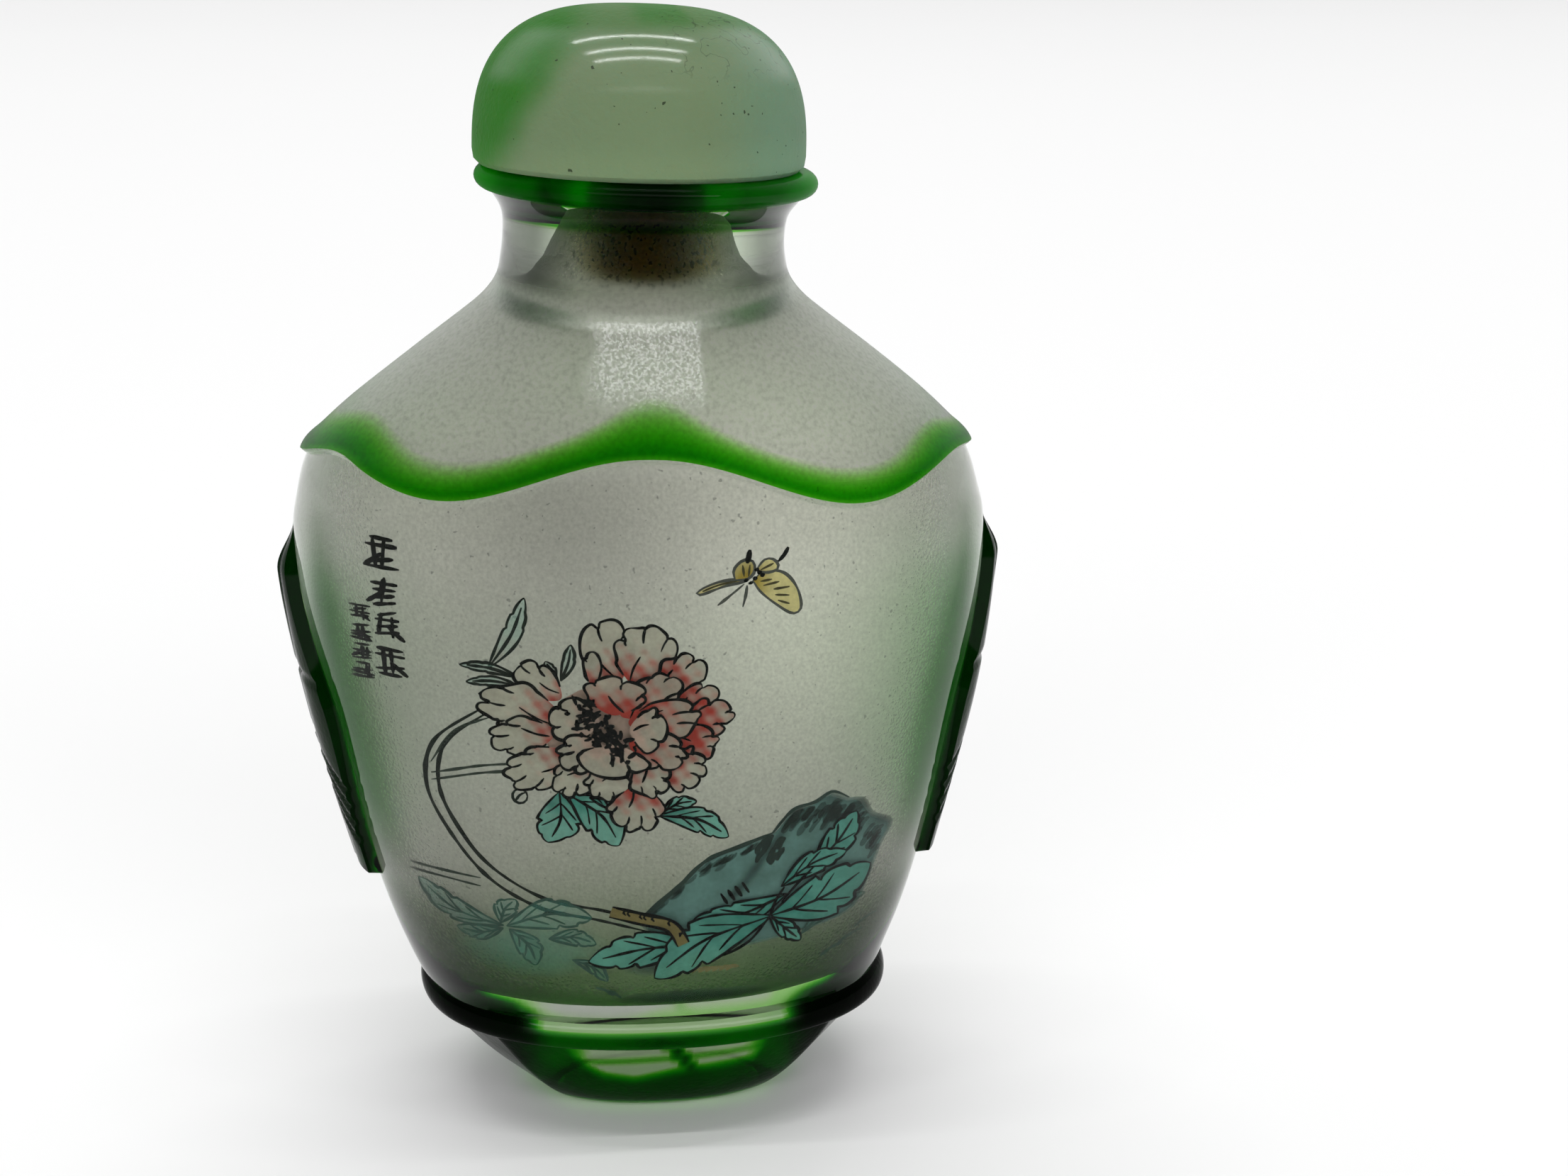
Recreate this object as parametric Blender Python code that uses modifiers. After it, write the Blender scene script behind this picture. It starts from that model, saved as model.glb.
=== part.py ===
"""Snuff bottle: a flattened overlay-glass vessel with a domed stopper.

The bottle is one hollow solid. Its outside is a loft of rings that are round at the neck, oval
at the belly and faceted at the foot, and a wavy carved edge runs round the shoulder. A carved
leaf stands on each side. The stopper is a turned dome over a turned cork.
All driving sizes are in millimetres. +Z is up, the front faces -Y, and the origin is on the
standing plane under the middle of the bottle.
"""
import bpy
import bmesh
from math import cos, sin, tan, pi, radians

MM = 0.001
GAP = 0.3                      # clearance between pieces that rest on each other

# Resolution
RING_SEGMENTS = 48
TURNED_STEPS = 40
CAP_DOME_ROWS = 12
CORK_STEPS = 24

# Foot: a small oval rim, a bowl that opens upward with four cut corners, and a bead on top
FOOT_SIDE, FOOT_FRONT = 8.8, 5.6
FOOT_RIM_WIDTH = 1.3
FOOT_RECESS = 0.5
BOWL_SIDE, BOWL_FRONT = 17.05, 12.4
BOWL_TOP = 7.9
BOWL_POWER = 0.68
BOWL_ROWS = 6
CORNER_DIRECTION = 24.0        # where each cut faces, in degrees round the oval from its end
CORNER_DEPTH = 0.955           # share of the oval's reach that the cut leaves
BEAD_HALF_HEIGHT = 1.1
BEAD_PROUD = 0.6

# Body: half width, half depth and height at each place that sets its curve
BODY_STATIONS = [(17.5, 12.3, 10.4), (19.2, 12.9, 14.8), (20.7, 13.4, 20.0), (23.1, 14.1, 30.0),
                 (24.5, 14.4, 38.5), (24.85, 14.3, 44.0), (24.4, 14.0, 46.8), (23.6, 13.5, 49.4),
                 (22.3, 12.95, 51.2), (21.0, 12.5, 52.8)]
BODY_ROWS = 12                 # from the foot up to the level part of the body
BODY_LEVEL_TOP = 44.0          # above this the rows follow the carved edge
BODY_WAVED_ROWS = 4

# Shoulder: from the carved edge up to the neck. The edge wanders up and down this curve
SHOULDER_STATIONS = [(24.5, 14.3, 47.6), (23.95, 13.95, 50.0), (22.6, 13.4, 51.35),
                     (20.35, 12.85, 53.4), (16.5, 11.9, 56.45), (12.55, 10.8, 59.45),
                     (10.5, 10.3, 61.1)]
SHOULDER_TOP = 61.1
SHOULDER_ROWS = 7

# Carved edge: its height at the sides, the cosine swings that repeat 2, 4 and 6 times round,
# and the sine swing that hangs the right side lower
EDGE_HEIGHT = 50.0
EDGE_MEAN = -0.085
EDGE_SWINGS = {2: -0.117, 4: 0.885, 6: 0.917}
EDGE_LEAN = -0.42
EDGE_UNDERCUT = 0.45

# The axis of a hand-worked bottle wanders a little sideways: (height, shift)
AXIS_WANDER = [(0.0, 0.8), (6.0, 0.75), (12.0, 0.25), (30.0, 0.1), (41.0, 0.0), (50.0, -0.22),
               (57.0, 0.0), (63.0, 0.1), (68.4, 0.4), (90.0, 0.4)]

# Neck and lip
NECK_RADIUS = 9.86
NECK_WAIST_HEIGHT = 64.4
LIP_TOP = 69.4
LIP_RADIUS = 11.95
LIP_ROUND = 1.0
LIP_HALF_HEIGHT = 0.84
LIP_UNDERSIDE = LIP_TOP - 2 * LIP_HALF_HEIGHT
BORE_RADIUS = 3.7
LIP_LEAN = 1.5                 # the lip and the stopper lean a little to the right, in degrees

# Hollow: half width, half depth and height, from the bore down to the floor
HOLLOW_STATIONS = [(3.9, 3.9, 67.9), (4.3, 4.3, 66.4), (4.9, 4.9, 64.2), (5.8, 5.7, 62.3),
                   (7.8, 7.0, 60.2), (13.2, 9.2, 56.8), (18.5, 10.5, 52.6), (20.8, 11.2, 48.5),
                   (21.4, 11.5, 43.0), (20.9, 11.5, 35.0), (18.9, 11.0, 25.0), (17.5, 10.4, 18.5),
                   (16.2, 9.8, 14.2), (14.0, 8.6, 11.2), (9.6, 6.0, 9.8)]
HOLLOW_FLOOR = 9.4

# Outline of the rings: 2 is a true oval, more is squarer
ROUND_RING = 2.0
BODY_RING = 2.2

# Side leaves
LEAF_TOP, LEAF_BOTTOM = 44.6, 18.9
LEAF_ROWS, LEAF_COLUMNS = 32, 10
LEAF_HALF_WIDTH = 5.4
LEAF_TIP_HALF_WIDTH = 1.2
LEAF_END_HALF_WIDTH = 4.0
LEAF_WIDEST = 0.55             # share of the leaf's length, from its top, where it is widest
LEAF_PROUD = 1.3
LEAF_ROOT = 1.9                # depth of the leaf's block, most of it sunk in the wall
LEAF_VEINS = 4
LEAF_VEINS_START, LEAF_VEINS_END = 0.58, 0.80
LEAF_VEIN_DEPTH = 0.3
LEAF_MIDRIB = 0.2
LEAF_NOTCH = 0.42              # a short cut across the leaf, as a share of its length
LEAF_NOTCH_DEPTH = 0.2

# Stopper
CAP_RADIUS = 11.55
CAP_WAIST = 1.0                # height of the widest place over the cap's underside
CAP_HEIGHT = 10.6
CAP_OFFSET = -0.5              # the cap is glued a little off the cork's axis
CAP_SIDE_POWER, CAP_TOP_POWER = 3.0, 2.6
CORK_RADIUS = BORE_RADIUS - GAP
CORK_LENGTH = 7.8


def start_clean():
    """Remove every object of the open scene."""
    for obj in list(bpy.data.objects):
        bpy.data.objects.remove(obj, do_unlink=True)


def new_collection(name):
    collection = bpy.data.collections.new(name)
    bpy.context.scene.collection.children.link(collection)
    return collection


def principled(name, color, roughness, metallic=0.0):
    material = bpy.data.materials.new(name)
    material.use_nodes = True
    shader = material.node_tree.nodes["Principled BSDF"]
    shader.inputs["Base Color"].default_value = (*color, 1.0)
    shader.inputs["Roughness"].default_value = roughness
    shader.inputs["Metallic"].default_value = metallic
    return material


def add_object(name, mesh, collection, material):
    obj = bpy.data.objects.new(name, mesh)
    mesh.materials.append(material)
    collection.objects.link(obj)
    return obj


def smooth_stations(stations, rows_per_span):
    """Points on a smooth curve through the stations, which it passes exactly."""
    points = []
    last = len(stations) - 1
    for i in range(last):
        before, here = stations[max(i - 1, 0)], stations[i]
        there, after = stations[i + 1], stations[min(i + 2, last)]
        for step in range(rows_per_span):
            t = step / rows_per_span
            points.append(tuple(
                0.5 * (2 * b + (c - a) * t + (2 * a - 5 * b + 4 * c - d) * t ** 2
                       + (3 * b - a - 3 * c + d) * t ** 3)
                for a, b, c, d in zip(before, here, there, after)))
    points.append(tuple(stations[last]))
    return points


def blend(a, b, t):
    return a + (b - a) * t


def smoothstep(t):
    t = min(max(t, 0.0), 1.0)
    return t * t * (3 - 2 * t)


def oval_point(side, front, power, angle):
    """A point of a squarish oval, with angle 0 at +X and a quarter turn at +Y."""
    c, s = cos(angle), sin(angle)
    x = side * abs(c) ** (2 / power) * (1 if c >= 0 else -1)
    y = front * abs(s) ** (2 / power) * (1 if s >= 0 else -1)
    return x, y


def edge_height(angle):
    """Height of the carved edge at an angle round the bottle. It waves alike front and back."""
    from_front = angle + pi / 2
    swings = sum(size * cos(n * from_front) for n, size in EDGE_SWINGS.items())
    return EDGE_HEIGHT + EDGE_MEAN + swings + EDGE_LEAN * sin(2 * from_front)


def outline_at(stations, z):
    """Half width and half depth at a height of the smooth curve through the stations."""
    points = smooth_stations(stations, 8)
    for low, high in zip(points, points[1:]):
        if z <= high[2]:
            t = (z - low[2]) / (high[2] - low[2])
            return blend(low[0], high[0], t), blend(low[1], high[1], t)
    return points[-1][:2]


def shoulder_power(z):
    """The rings turn from squarish ovals at the edge to true circles at the neck."""
    return blend(BODY_RING, ROUND_RING, smoothstep((z - EDGE_HEIGHT) / (SHOULDER_TOP - EDGE_HEIGHT)))


def ring(side, front, z, power=BODY_RING, cut_corners=False):
    """A level ring of the loft, as a list of points in millimetres."""
    points = []
    facing = radians(CORNER_DIRECTION)
    for i in range(RING_SEGMENTS):
        x, y = oval_point(side, front, power, 2 * pi * i / RING_SEGMENTS)
        if cut_corners:
            reach = abs(x) / side * cos(facing) + abs(y) / front * sin(facing)
            shrink = min(1.0, CORNER_DEPTH / reach)
            x, y = x * shrink, y * shrink
        points.append((x, y, z))
    return points


def waved_ring(stations, height_at, power_at):
    """A ring that wanders up and down the curve through the stations."""
    points = []
    for i in range(RING_SEGMENTS):
        angle = 2 * pi * i / RING_SEGMENTS
        z = height_at(angle)
        points.append((*oval_point(*outline_at(stations, z), power_at(z), angle), z))
    return points


def foot_rings():
    rim = (FOOT_SIDE - FOOT_RIM_WIDTH, FOOT_FRONT - FOOT_RIM_WIDTH)
    rings = [ring(rim[0] - FOOT_RECESS, rim[1] - FOOT_RECESS, FOOT_RECESS, cut_corners=True),
             ring(*rim, 0.0, cut_corners=True)]
    for i in range(BOWL_ROWS + 1):
        rise = (i / BOWL_ROWS) ** 1.5
        open_out = rise ** BOWL_POWER
        side = blend(FOOT_SIDE, BOWL_SIDE, open_out)
        front = blend(FOOT_FRONT, BOWL_FRONT, open_out)
        rings.append(ring(side, front, BOWL_TOP * rise, cut_corners=True))
    for angle in (-60, -20, 20, 60):
        out = BEAD_PROUD * cos(radians(angle))
        z = BOWL_TOP + BEAD_HALF_HEIGHT * (1 + sin(radians(angle)))
        rings.append(ring(BOWL_SIDE + out, BOWL_FRONT + out, z))
    return rings


def body_rings():
    """Level rings up to the belly, then rings that bend up to follow the carved edge."""
    bottom = BODY_STATIONS[0][2]
    rings = []
    for i in range(BODY_ROWS + 1):
        z = blend(bottom, BODY_LEVEL_TOP, i / BODY_ROWS)
        rings.append(ring(*outline_at(BODY_STATIONS, z), z))
    for i in range(1, BODY_WAVED_ROWS + 1):
        share = i / BODY_WAVED_ROWS
        rings.append(waved_ring(
            BODY_STATIONS,
            lambda angle: blend(BODY_LEVEL_TOP, edge_height(angle) - EDGE_UNDERCUT, share),
            lambda z: BODY_RING))
    return rings


def shoulder_rings():
    rings = []
    for i in range(SHOULDER_ROWS + 1):
        share = (i / SHOULDER_ROWS) ** 1.2
        rings.append(waved_ring(
            SHOULDER_STATIONS,
            lambda angle: blend(edge_height(angle), SHOULDER_TOP, share),
            shoulder_power))
    return rings


def wander(z):
    """Sideways shift of the bottle's axis at a height."""
    for low, high in zip(AXIS_WANDER, AXIS_WANDER[1:]):
        if z <= high[0]:
            return blend(low[1], high[1], smoothstep((z - low[0]) / (high[0] - low[0])))
    return AXIS_WANDER[-1][1]


def by_hand(point):
    """Move a point of the true shape to where the hand-worked bottle has it."""
    x, y, z = point
    share = smoothstep((z - NECK_WAIST_HEIGHT) / (LIP_UNDERSIDE - NECK_WAIST_HEIGHT))
    return x + wander(z), y, z - x * tan(radians(LIP_LEAN)) * share


def lip_rings():
    """Waist of the neck, rolled lip, flat top and the mouth of the bore."""
    outline = [(NECK_RADIUS + 0.2, NECK_WAIST_HEIGHT - 1.9), (NECK_RADIUS, NECK_WAIST_HEIGHT),
               (NECK_RADIUS + 0.15, NECK_WAIST_HEIGHT + 1.9)]
    centre = (LIP_RADIUS - LIP_ROUND, LIP_TOP - LIP_HALF_HEIGHT)
    for angle in (-90, -50, -15, 20, 55, 90):
        outline.append((centre[0] + LIP_ROUND * cos(radians(angle)),
                        centre[1] + LIP_HALF_HEIGHT * sin(radians(angle))))
    outline += [(BORE_RADIUS + GAP, LIP_TOP), (BORE_RADIUS, LIP_TOP - GAP)]
    return [ring(r, r, z, ROUND_RING) for r, z in outline]


def hollow_rings():
    rings = []
    for side, front, z in HOLLOW_STATIONS:
        rings.append(ring(side, front, z, shoulder_power(z)))
    return rings


def loft(name, rings, first_centre, last_centre):
    """A closed mesh through the rings in turn, with a fan to a centre point at each end."""
    bm = bmesh.new()
    rows = [[bm.verts.new([c * MM for c in by_hand(point)]) for point in points] for points in rings]
    count = len(rows[0])
    for lower, upper in zip(rows, rows[1:]):
        for i in range(count):
            j = (i + 1) % count
            bm.faces.new((lower[i], lower[j], upper[j], upper[i]))
    for row, centre, flip in ((rows[0], first_centre, True), (rows[-1], last_centre, False)):
        hub = bm.verts.new([c * MM for c in by_hand((0, 0, centre))])
        for i in range(count):
            a, b = row[i], row[(i + 1) % count]
            bm.faces.new((b, a, hub) if flip else (a, b, hub))
    bmesh.ops.recalc_face_normals(bm, faces=bm.faces)
    mesh = bpy.data.meshes.new(name)
    bm.to_mesh(mesh)
    bm.free()
    return mesh


def wall_x(y, z):
    """Where the body's side wall stands at a depth and a height."""
    side, front = outline_at(BODY_STATIONS, z)
    return side * (1 - (abs(y) / front) ** BODY_RING) ** (1 / BODY_RING)


def leaf_half_width(along):
    """Half width of the leaf, from its narrow top (0) to its blunt foot (1)."""
    widening = smoothstep(along / LEAF_WIDEST)
    narrowing = smoothstep((along - LEAF_WIDEST) / (1 - LEAF_WIDEST))
    return (blend(LEAF_TIP_HALF_WIDTH, LEAF_HALF_WIDTH, widening)
            - narrowing * (LEAF_HALF_WIDTH - LEAF_END_HALF_WIDTH))


def leaf_lift(along, across):
    """Height of the carved leaf over the wall: thick rounded top, midrib and slanting veins."""
    swell = smoothstep(0.04 + along / 0.15)
    crown = 1 - 0.25 * across ** 2
    midrib = LEAF_MIDRIB * max(0.0, 1 - abs(across) / 0.16)
    place = (along - LEAF_VEINS_START) / (LEAF_VEINS_END - LEAF_VEINS_START) - 0.55 * abs(across)
    groove = max(0.0, 1 - abs(place * LEAF_VEINS % 1.0 - 0.5) / 0.3)
    depth = LEAF_VEIN_DEPTH * smoothstep(place / 0.1) * smoothstep((1 - place) / 0.1)
    notch = LEAF_NOTCH_DEPTH * max(0.0, 1 - abs(along - LEAF_NOTCH) / 0.02)
    return swell * (LEAF_PROUD * crown + midrib) - depth * groove - notch


def leaf_block(name, sign, collection):
    """The carved leaf of one side, as a block whose root is sunk in the wall."""
    bm = bmesh.new()
    grid = []
    for i in range(LEAF_ROWS + 1):
        along = i / LEAF_ROWS
        z = blend(LEAF_TOP, LEAF_BOTTOM, along)
        row = []
        for j in range(LEAF_COLUMNS + 1):
            across = 2 * j / LEAF_COLUMNS - 1
            y = across * leaf_half_width(along)
            x = wall_x(y, z) + leaf_lift(along, across)
            point = by_hand((sign * x, sign * y, z))
            row.append(bm.verts.new([c * MM for c in point]))
        grid.append(row)
    for above, below in zip(grid, grid[1:]):
        for j in range(LEAF_COLUMNS):
            bm.faces.new((above[j], below[j], below[j + 1], above[j + 1]))
    mesh = bpy.data.meshes.new(name)
    bm.to_mesh(mesh)
    bm.free()
    block = bpy.data.objects.new(name, mesh)
    collection.objects.link(block)
    block.hide_render = True
    block.display_type = "WIRE"
    solidify = block.modifiers.new("root", "SOLIDIFY")
    solidify.thickness = LEAF_ROOT * MM
    solidify.offset = -1.0
    return block


def turned(name, outline, steps, collection, material):
    """A turned solid: an outline of (radius, height over the lip) points, top to bottom.

    It stands on the leaning lip: its origin is the middle of the lip's top.
    """
    mesh = bpy.data.meshes.new(name)
    verts = [(r * MM, 0, z * MM) for r, z in outline]
    mesh.from_pydata(verts, [(i, i + 1) for i in range(len(verts) - 1)], [])
    obj = add_object(name, mesh, collection, material)
    screw = obj.modifiers.new("turn", "SCREW")
    screw.steps = steps
    screw.render_steps = steps
    screw.use_merge_vertices = True
    screw.merge_threshold = 1e-6
    screw.use_smooth_shade = True
    obj.location = (wander(LIP_TOP) * MM, 0, LIP_TOP * MM)
    obj.rotation_euler.y = radians(LIP_LEAN)
    return obj


def make_bottle(collection, cutters, material):
    rings = foot_rings() + body_rings() + shoulder_rings() + lip_rings() + hollow_rings()
    bottle = add_object("bottle", loft("bottle", rings, FOOT_RECESS, HOLLOW_FLOOR),
                        collection, material)
    for side_name, sign in (("right", 1), ("left", -1)):
        block = leaf_block("leaf_" + side_name, sign, cutters)
        union = bottle.modifiers.new("leaf_" + side_name, "BOOLEAN")
        union.operation = "UNION"
        union.solver = "EXACT"
        union.object = block
    return bottle


def make_cap(collection, material):
    waist = GAP + CAP_WAIST
    dome = CAP_HEIGHT - CAP_WAIST
    outline = [(0, GAP + CAP_HEIGHT)]
    for i in range(1, CAP_DOME_ROWS + 1):
        fall = radians(90 * i / CAP_DOME_ROWS)
        rise = max(0.0, cos(fall)) ** (2 / CAP_TOP_POWER)
        outline.append((CAP_RADIUS * sin(fall) ** (2 / CAP_SIDE_POWER), waist + dome * rise))
    outline += [(CAP_RADIUS - 0.1, GAP + 0.45), (CAP_RADIUS - 0.5, GAP), (0, GAP)]
    cap = turned("stopper_cap", outline, TURNED_STEPS, collection, material)
    cap.location.x += CAP_OFFSET * MM
    return cap


def make_cork(collection, material):
    outline = [(0, 0), (CORK_RADIUS - 0.15, 0), (CORK_RADIUS, -0.3),
               (CORK_RADIUS, 0.4 - CORK_LENGTH), (CORK_RADIUS - 0.3, -CORK_LENGTH),
               (0, -CORK_LENGTH)]
    return turned("stopper_cork", outline, CORK_STEPS, collection, material)


def main():
    start_clean()
    parts = new_collection("snuff_bottle")
    cutters = new_collection("cutters")
    make_bottle(parts, cutters, principled("overlay_glass", (0.42, 0.50, 0.38), 0.25))
    make_cap(parts, principled("celadon_glass", (0.20, 0.36, 0.17), 0.12))
    make_cork(parts, principled("cork", (0.26, 0.17, 0.09), 0.85))


main()
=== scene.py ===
"""Finish of an inside-painted snuff bottle: clear glass under green overlay, frosted within.

Run as a script, it loads the built frame, makes the fine bottle, its stopper and the painting on
the inner wall, and sets the stage. Sizes in the tables are millimetres in the frame of the bottle:
+Z is up, the front faces -Y and the origin is on the standing plane.
"""
import random
from math import cos, sin, tan, pi, radians

import bpy
import numpy as np
from mathutils import Matrix, Vector
from bpy.props import FloatProperty, FloatVectorProperty, IntProperty, PointerProperty


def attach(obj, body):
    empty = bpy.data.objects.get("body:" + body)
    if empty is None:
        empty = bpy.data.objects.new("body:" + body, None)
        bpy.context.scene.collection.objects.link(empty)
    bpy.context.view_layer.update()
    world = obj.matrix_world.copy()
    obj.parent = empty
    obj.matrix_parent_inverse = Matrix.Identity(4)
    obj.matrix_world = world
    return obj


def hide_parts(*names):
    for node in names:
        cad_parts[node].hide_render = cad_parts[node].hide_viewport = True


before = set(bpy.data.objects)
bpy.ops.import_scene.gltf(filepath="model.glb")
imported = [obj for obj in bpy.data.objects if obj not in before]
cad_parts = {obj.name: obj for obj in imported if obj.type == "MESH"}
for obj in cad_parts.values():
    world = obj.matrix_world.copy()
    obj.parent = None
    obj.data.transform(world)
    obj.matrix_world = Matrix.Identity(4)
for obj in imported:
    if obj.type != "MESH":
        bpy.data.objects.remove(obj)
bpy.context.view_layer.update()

bl_info = {
    "name": "Inside-painted snuff bottle",
    "version": (1, 0, 0),
    "blender": (4, 5, 0),
    "location": "View3D > Sidebar > Snuff bottle",
    "description": "Makes an overlay-glass snuff bottle, its stopper, its painting and a stage",
    "category": "Add Mesh",
}

MM = 0.001
BODY = "root"

# Foot, bowl and bead
FOOT_SIDE, FOOT_FRONT = 8.8, 5.6
FOOT_RIM_WIDTH = 1.3
FOOT_RECESS = 0.5
BOWL_SIDE, BOWL_FRONT = 17.05, 12.4
BOWL_TOP = 7.9
BOWL_POWER = 0.68
CORNER_DIRECTION = 24.0
CORNER_DEPTH = 0.955
BEAD_HALF_HEIGHT = 1.1
BEAD_PROUD = 0.6
# Lower edge, across and up, of the thin place in the bowl's overlay at the front and back
BOWL_WINDOW = [(-7.4, 7.6), (-6.3, 5.6), (-4.7, 4.3), (-2.4, 3.8), (0.5, 4.7), (6.4, 5.4),
               (7.4, 7.6)]

# Outlines: half width, half depth and height
BODY_STATIONS = [(17.5, 12.3, 10.4), (19.2, 12.9, 14.8), (20.7, 13.4, 20.0), (23.1, 14.1, 30.0),
                 (24.5, 14.4, 38.5), (24.85, 14.3, 44.0), (24.4, 14.0, 46.8), (23.6, 13.5, 49.4),
                 (22.3, 12.95, 51.2), (21.0, 12.5, 52.8)]
SHOULDER_STATIONS = [(24.5, 14.3, 47.6), (23.95, 13.95, 50.0), (22.6, 13.4, 51.35),
                     (20.35, 12.85, 53.4), (16.5, 11.9, 56.45), (12.55, 10.8, 59.45),
                     (10.5, 10.3, 61.1)]
HOLLOW_STATIONS = [(3.9, 3.9, 67.9), (4.0, 4.0, 66.4), (4.3, 4.3, 64.4), (4.9, 4.9, 62.4),
                   (6.3, 6.0, 60.6), (13.0, 9.2, 56.8), (18.5, 10.5, 52.6), (20.8, 11.2, 48.5),
                   (21.4, 11.5, 43.0), (20.9, 11.5, 35.0), (18.9, 11.0, 25.0), (17.5, 10.4, 18.5),
                   (16.2, 9.8, 14.2), (14.0, 8.6, 11.2), (9.6, 6.0, 9.8)]
HOLLOW_FLOOR = 9.4
ROUND_RING, BODY_RING = 2.0, 2.2       # 2 is a true oval, more is squarer

# Carved edge round the shoulder
EDGE_HEIGHT = 50.0
EDGE_MEAN = -0.085
EDGE_SWINGS = {2: -0.117, 4: 0.885, 6: 0.917}
EDGE_LEAN = -0.42
EDGE_UNDERCUT = 0.45
SHOULDER_TOP = 61.1

# Sideways wander of the hand-worked axis, and the lean of the lip in degrees
AXIS_WANDER = [(0.0, 0.8), (6.0, 0.75), (12.0, 0.25), (30.0, 0.1), (41.0, 0.0), (50.0, -0.22),
               (57.0, 0.0), (63.0, 0.1), (68.4, 0.4), (90.0, 0.4)]
LIP_LEAN = 1.5

# Neck and lip
NECK_RADIUS = 9.86
NECK_WAIST_HEIGHT = 64.4
NECK_FILLET = 1.3
LIP_TOP = 69.4
LIP_RADIUS = 11.95
LIP_ROUND = 1.0
LIP_HALF_HEIGHT = 0.84
LIP_UNDERSIDE = LIP_TOP - 2 * LIP_HALF_HEIGHT
BORE_RADIUS = 3.7
GAP = 0.3
# Half width and height, from the top of the soft neck base to the lip
NECK_STATIONS = [(NECK_RADIUS + 0.2, NECK_WAIST_HEIGHT - 1.7), (NECK_RADIUS, NECK_WAIST_HEIGHT),
                 (NECK_RADIUS + 0.15, NECK_WAIST_HEIGHT + 1.9),
                 (LIP_RADIUS - LIP_ROUND, LIP_UNDERSIDE)]
NECK_CREASE = (10.24, 10.23, SHOULDER_TOP + 0.2)     # where the shoulder would meet the neck

# Side leaves
LEAF_TOP, LEAF_BOTTOM = 44.6, 18.9
LEAF_HALF_WIDTH = 5.4
LEAF_TIP_HALF_WIDTH = 1.2
LEAF_END_HALF_WIDTH = 4.0
LEAF_WIDEST = 0.55
LEAF_PROUD = 1.3
LEAF_VEINS = 4
LEAF_VEINS_START, LEAF_VEINS_END = 0.58, 0.80
LEAF_VEIN_DEPTH = 0.3
LEAF_MIDRIB = 0.2
LEAF_NOTCH = 0.42
LEAF_NOTCH_DEPTH = 0.2
UPPER_SPREAD = 0.3             # share of the depth that the leaf's columns take above it

# Thickness of the green overlay, in layers of the overlay's tint
LEAF_GREEN = 3.4
LIP_GREEN = 2.0
BEAD_GREEN = 2.0
BOWL_GREEN = 2.7
EDGE_GREEN = 2.1
NECK_PAINTED_SHADE = 0.89              # painted shade: share of the light that the neck's glass is painted to keep back
FADE_HEIGHT = 2.45             # height over which the green fades above the carved edge,
FADE_MIDDLE = 1.6              # how much taller that is in the middle of the front and back
FADE_LEFT, FADE_RIGHT = 0.2, -0.8      # and at the two ends
WALL_SHINE = 0.05              # coat on the clear wall
LOW_WALL_TOP = 11.0            # below this the wall is painted darker, most at its sides
CLEAR_MIDDLE = 8.0             # half width of the clear middle low on the front and back
FOOT_SHADE_TINT = (0.70, 0.84, 0.60)        # painted shade: light left in the frosting low down by the foot's green
CORK_SHADOW_TINT = (0.62, 0.40, 0.10)        # and, as painted shadow, by the brown of the cork behind it
SOOT_BOTTOM = 59.5             # the frosting above this is sooty from the cork

# Stopper
CAP_RADIUS = 11.55
CAP_WAIST = 1.0
CAP_HEIGHT = 10.6
CAP_OFFSET = -0.5
CAP_SEAT = 0.05
CAP_SIDE_POWER, CAP_TOP_POWER = 3.0, 2.6
CORK_RADIUS = BORE_RADIUS - GAP
CORK_LENGTH = 7.8

# Painting: depth of the first layer in the glass, step between layers and thickness of a layer
PAINT_DEPTH = 0.04
PAINT_STEP = 0.012
PAINT_THICKNESS = 0.006
PAINT_SEED = 7
PETAL_OPENING = radians(112)   # angle from a petal's tip to where its foot begins
PETAL_HEART, PETAL_REACH = 0.56, 0.44      # centre and radius, as shares of its length

# Where finishes change, in metres. Bands give start, full, fading and end
LIP_SATIN = (0.0655, 0.0665)
MATTE_SHOULDER = (0.0490, 0.0500, 0.0605, 0.0640)
LIT_PATCH_ACROSS = (-0.0050, -0.0030, 0.0030, 0.0036)
LIT_PATCH_UP = (0.0540, 0.0565, 0.0601, 0.0604)
CAP_CROWN = (0.0768, 0.0800)
CAP_POLISH = (0.0750, 0.0764, 0.0784, 0.0794)
CAP_STREAK = (-0.0015, 0.0, 0.0022, 0.0034)

# Finishing: sharpest angle in degrees that is shaded smooth, and the distance in metres that
# merges a seam
SHARP_DEGREES = 35.0
SEAM = 1e-7

# Stage: the camera's turn, pitch and roll in degrees, and places and sizes in metres
CAMERA_TURN, CAMERA_PITCH, CAMERA_ROLL = 7.2, -16.5, 0.52
CAMERA_PLACE = (-0.01057, -0.16517, 0.08783)
FLOOR_PLACE = (0, 2.0, 0)
PANEL_PLACE, PANEL_TIP, PANEL_SIZE = (0.3, -5.1, 3.1), 60.0, (10.5, 2.0)
STRIP_ACROSS, STRIP_ROWS, STRIP_HEIGHT = -0.2, (1.9, -0.25, -1.7), 6.0
STRIP_SIZE = (5.1, 0.12)


# ---- What a user may change

def color_property(name, description, default):
    return FloatVectorProperty(name=name, description=description, default=default,
                               subtype="COLOR", size=3, min=0.0, max=1.0)


def number_property(name, description, default, low=0.0, high=100.0, **more):
    return FloatProperty(name=name, description=description, default=default, min=low, max=high,
                         **more)


def columns_property(name, description, default, low, high):
    return IntProperty(name=name, description=description, default=default, min=low, max=high)


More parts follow.
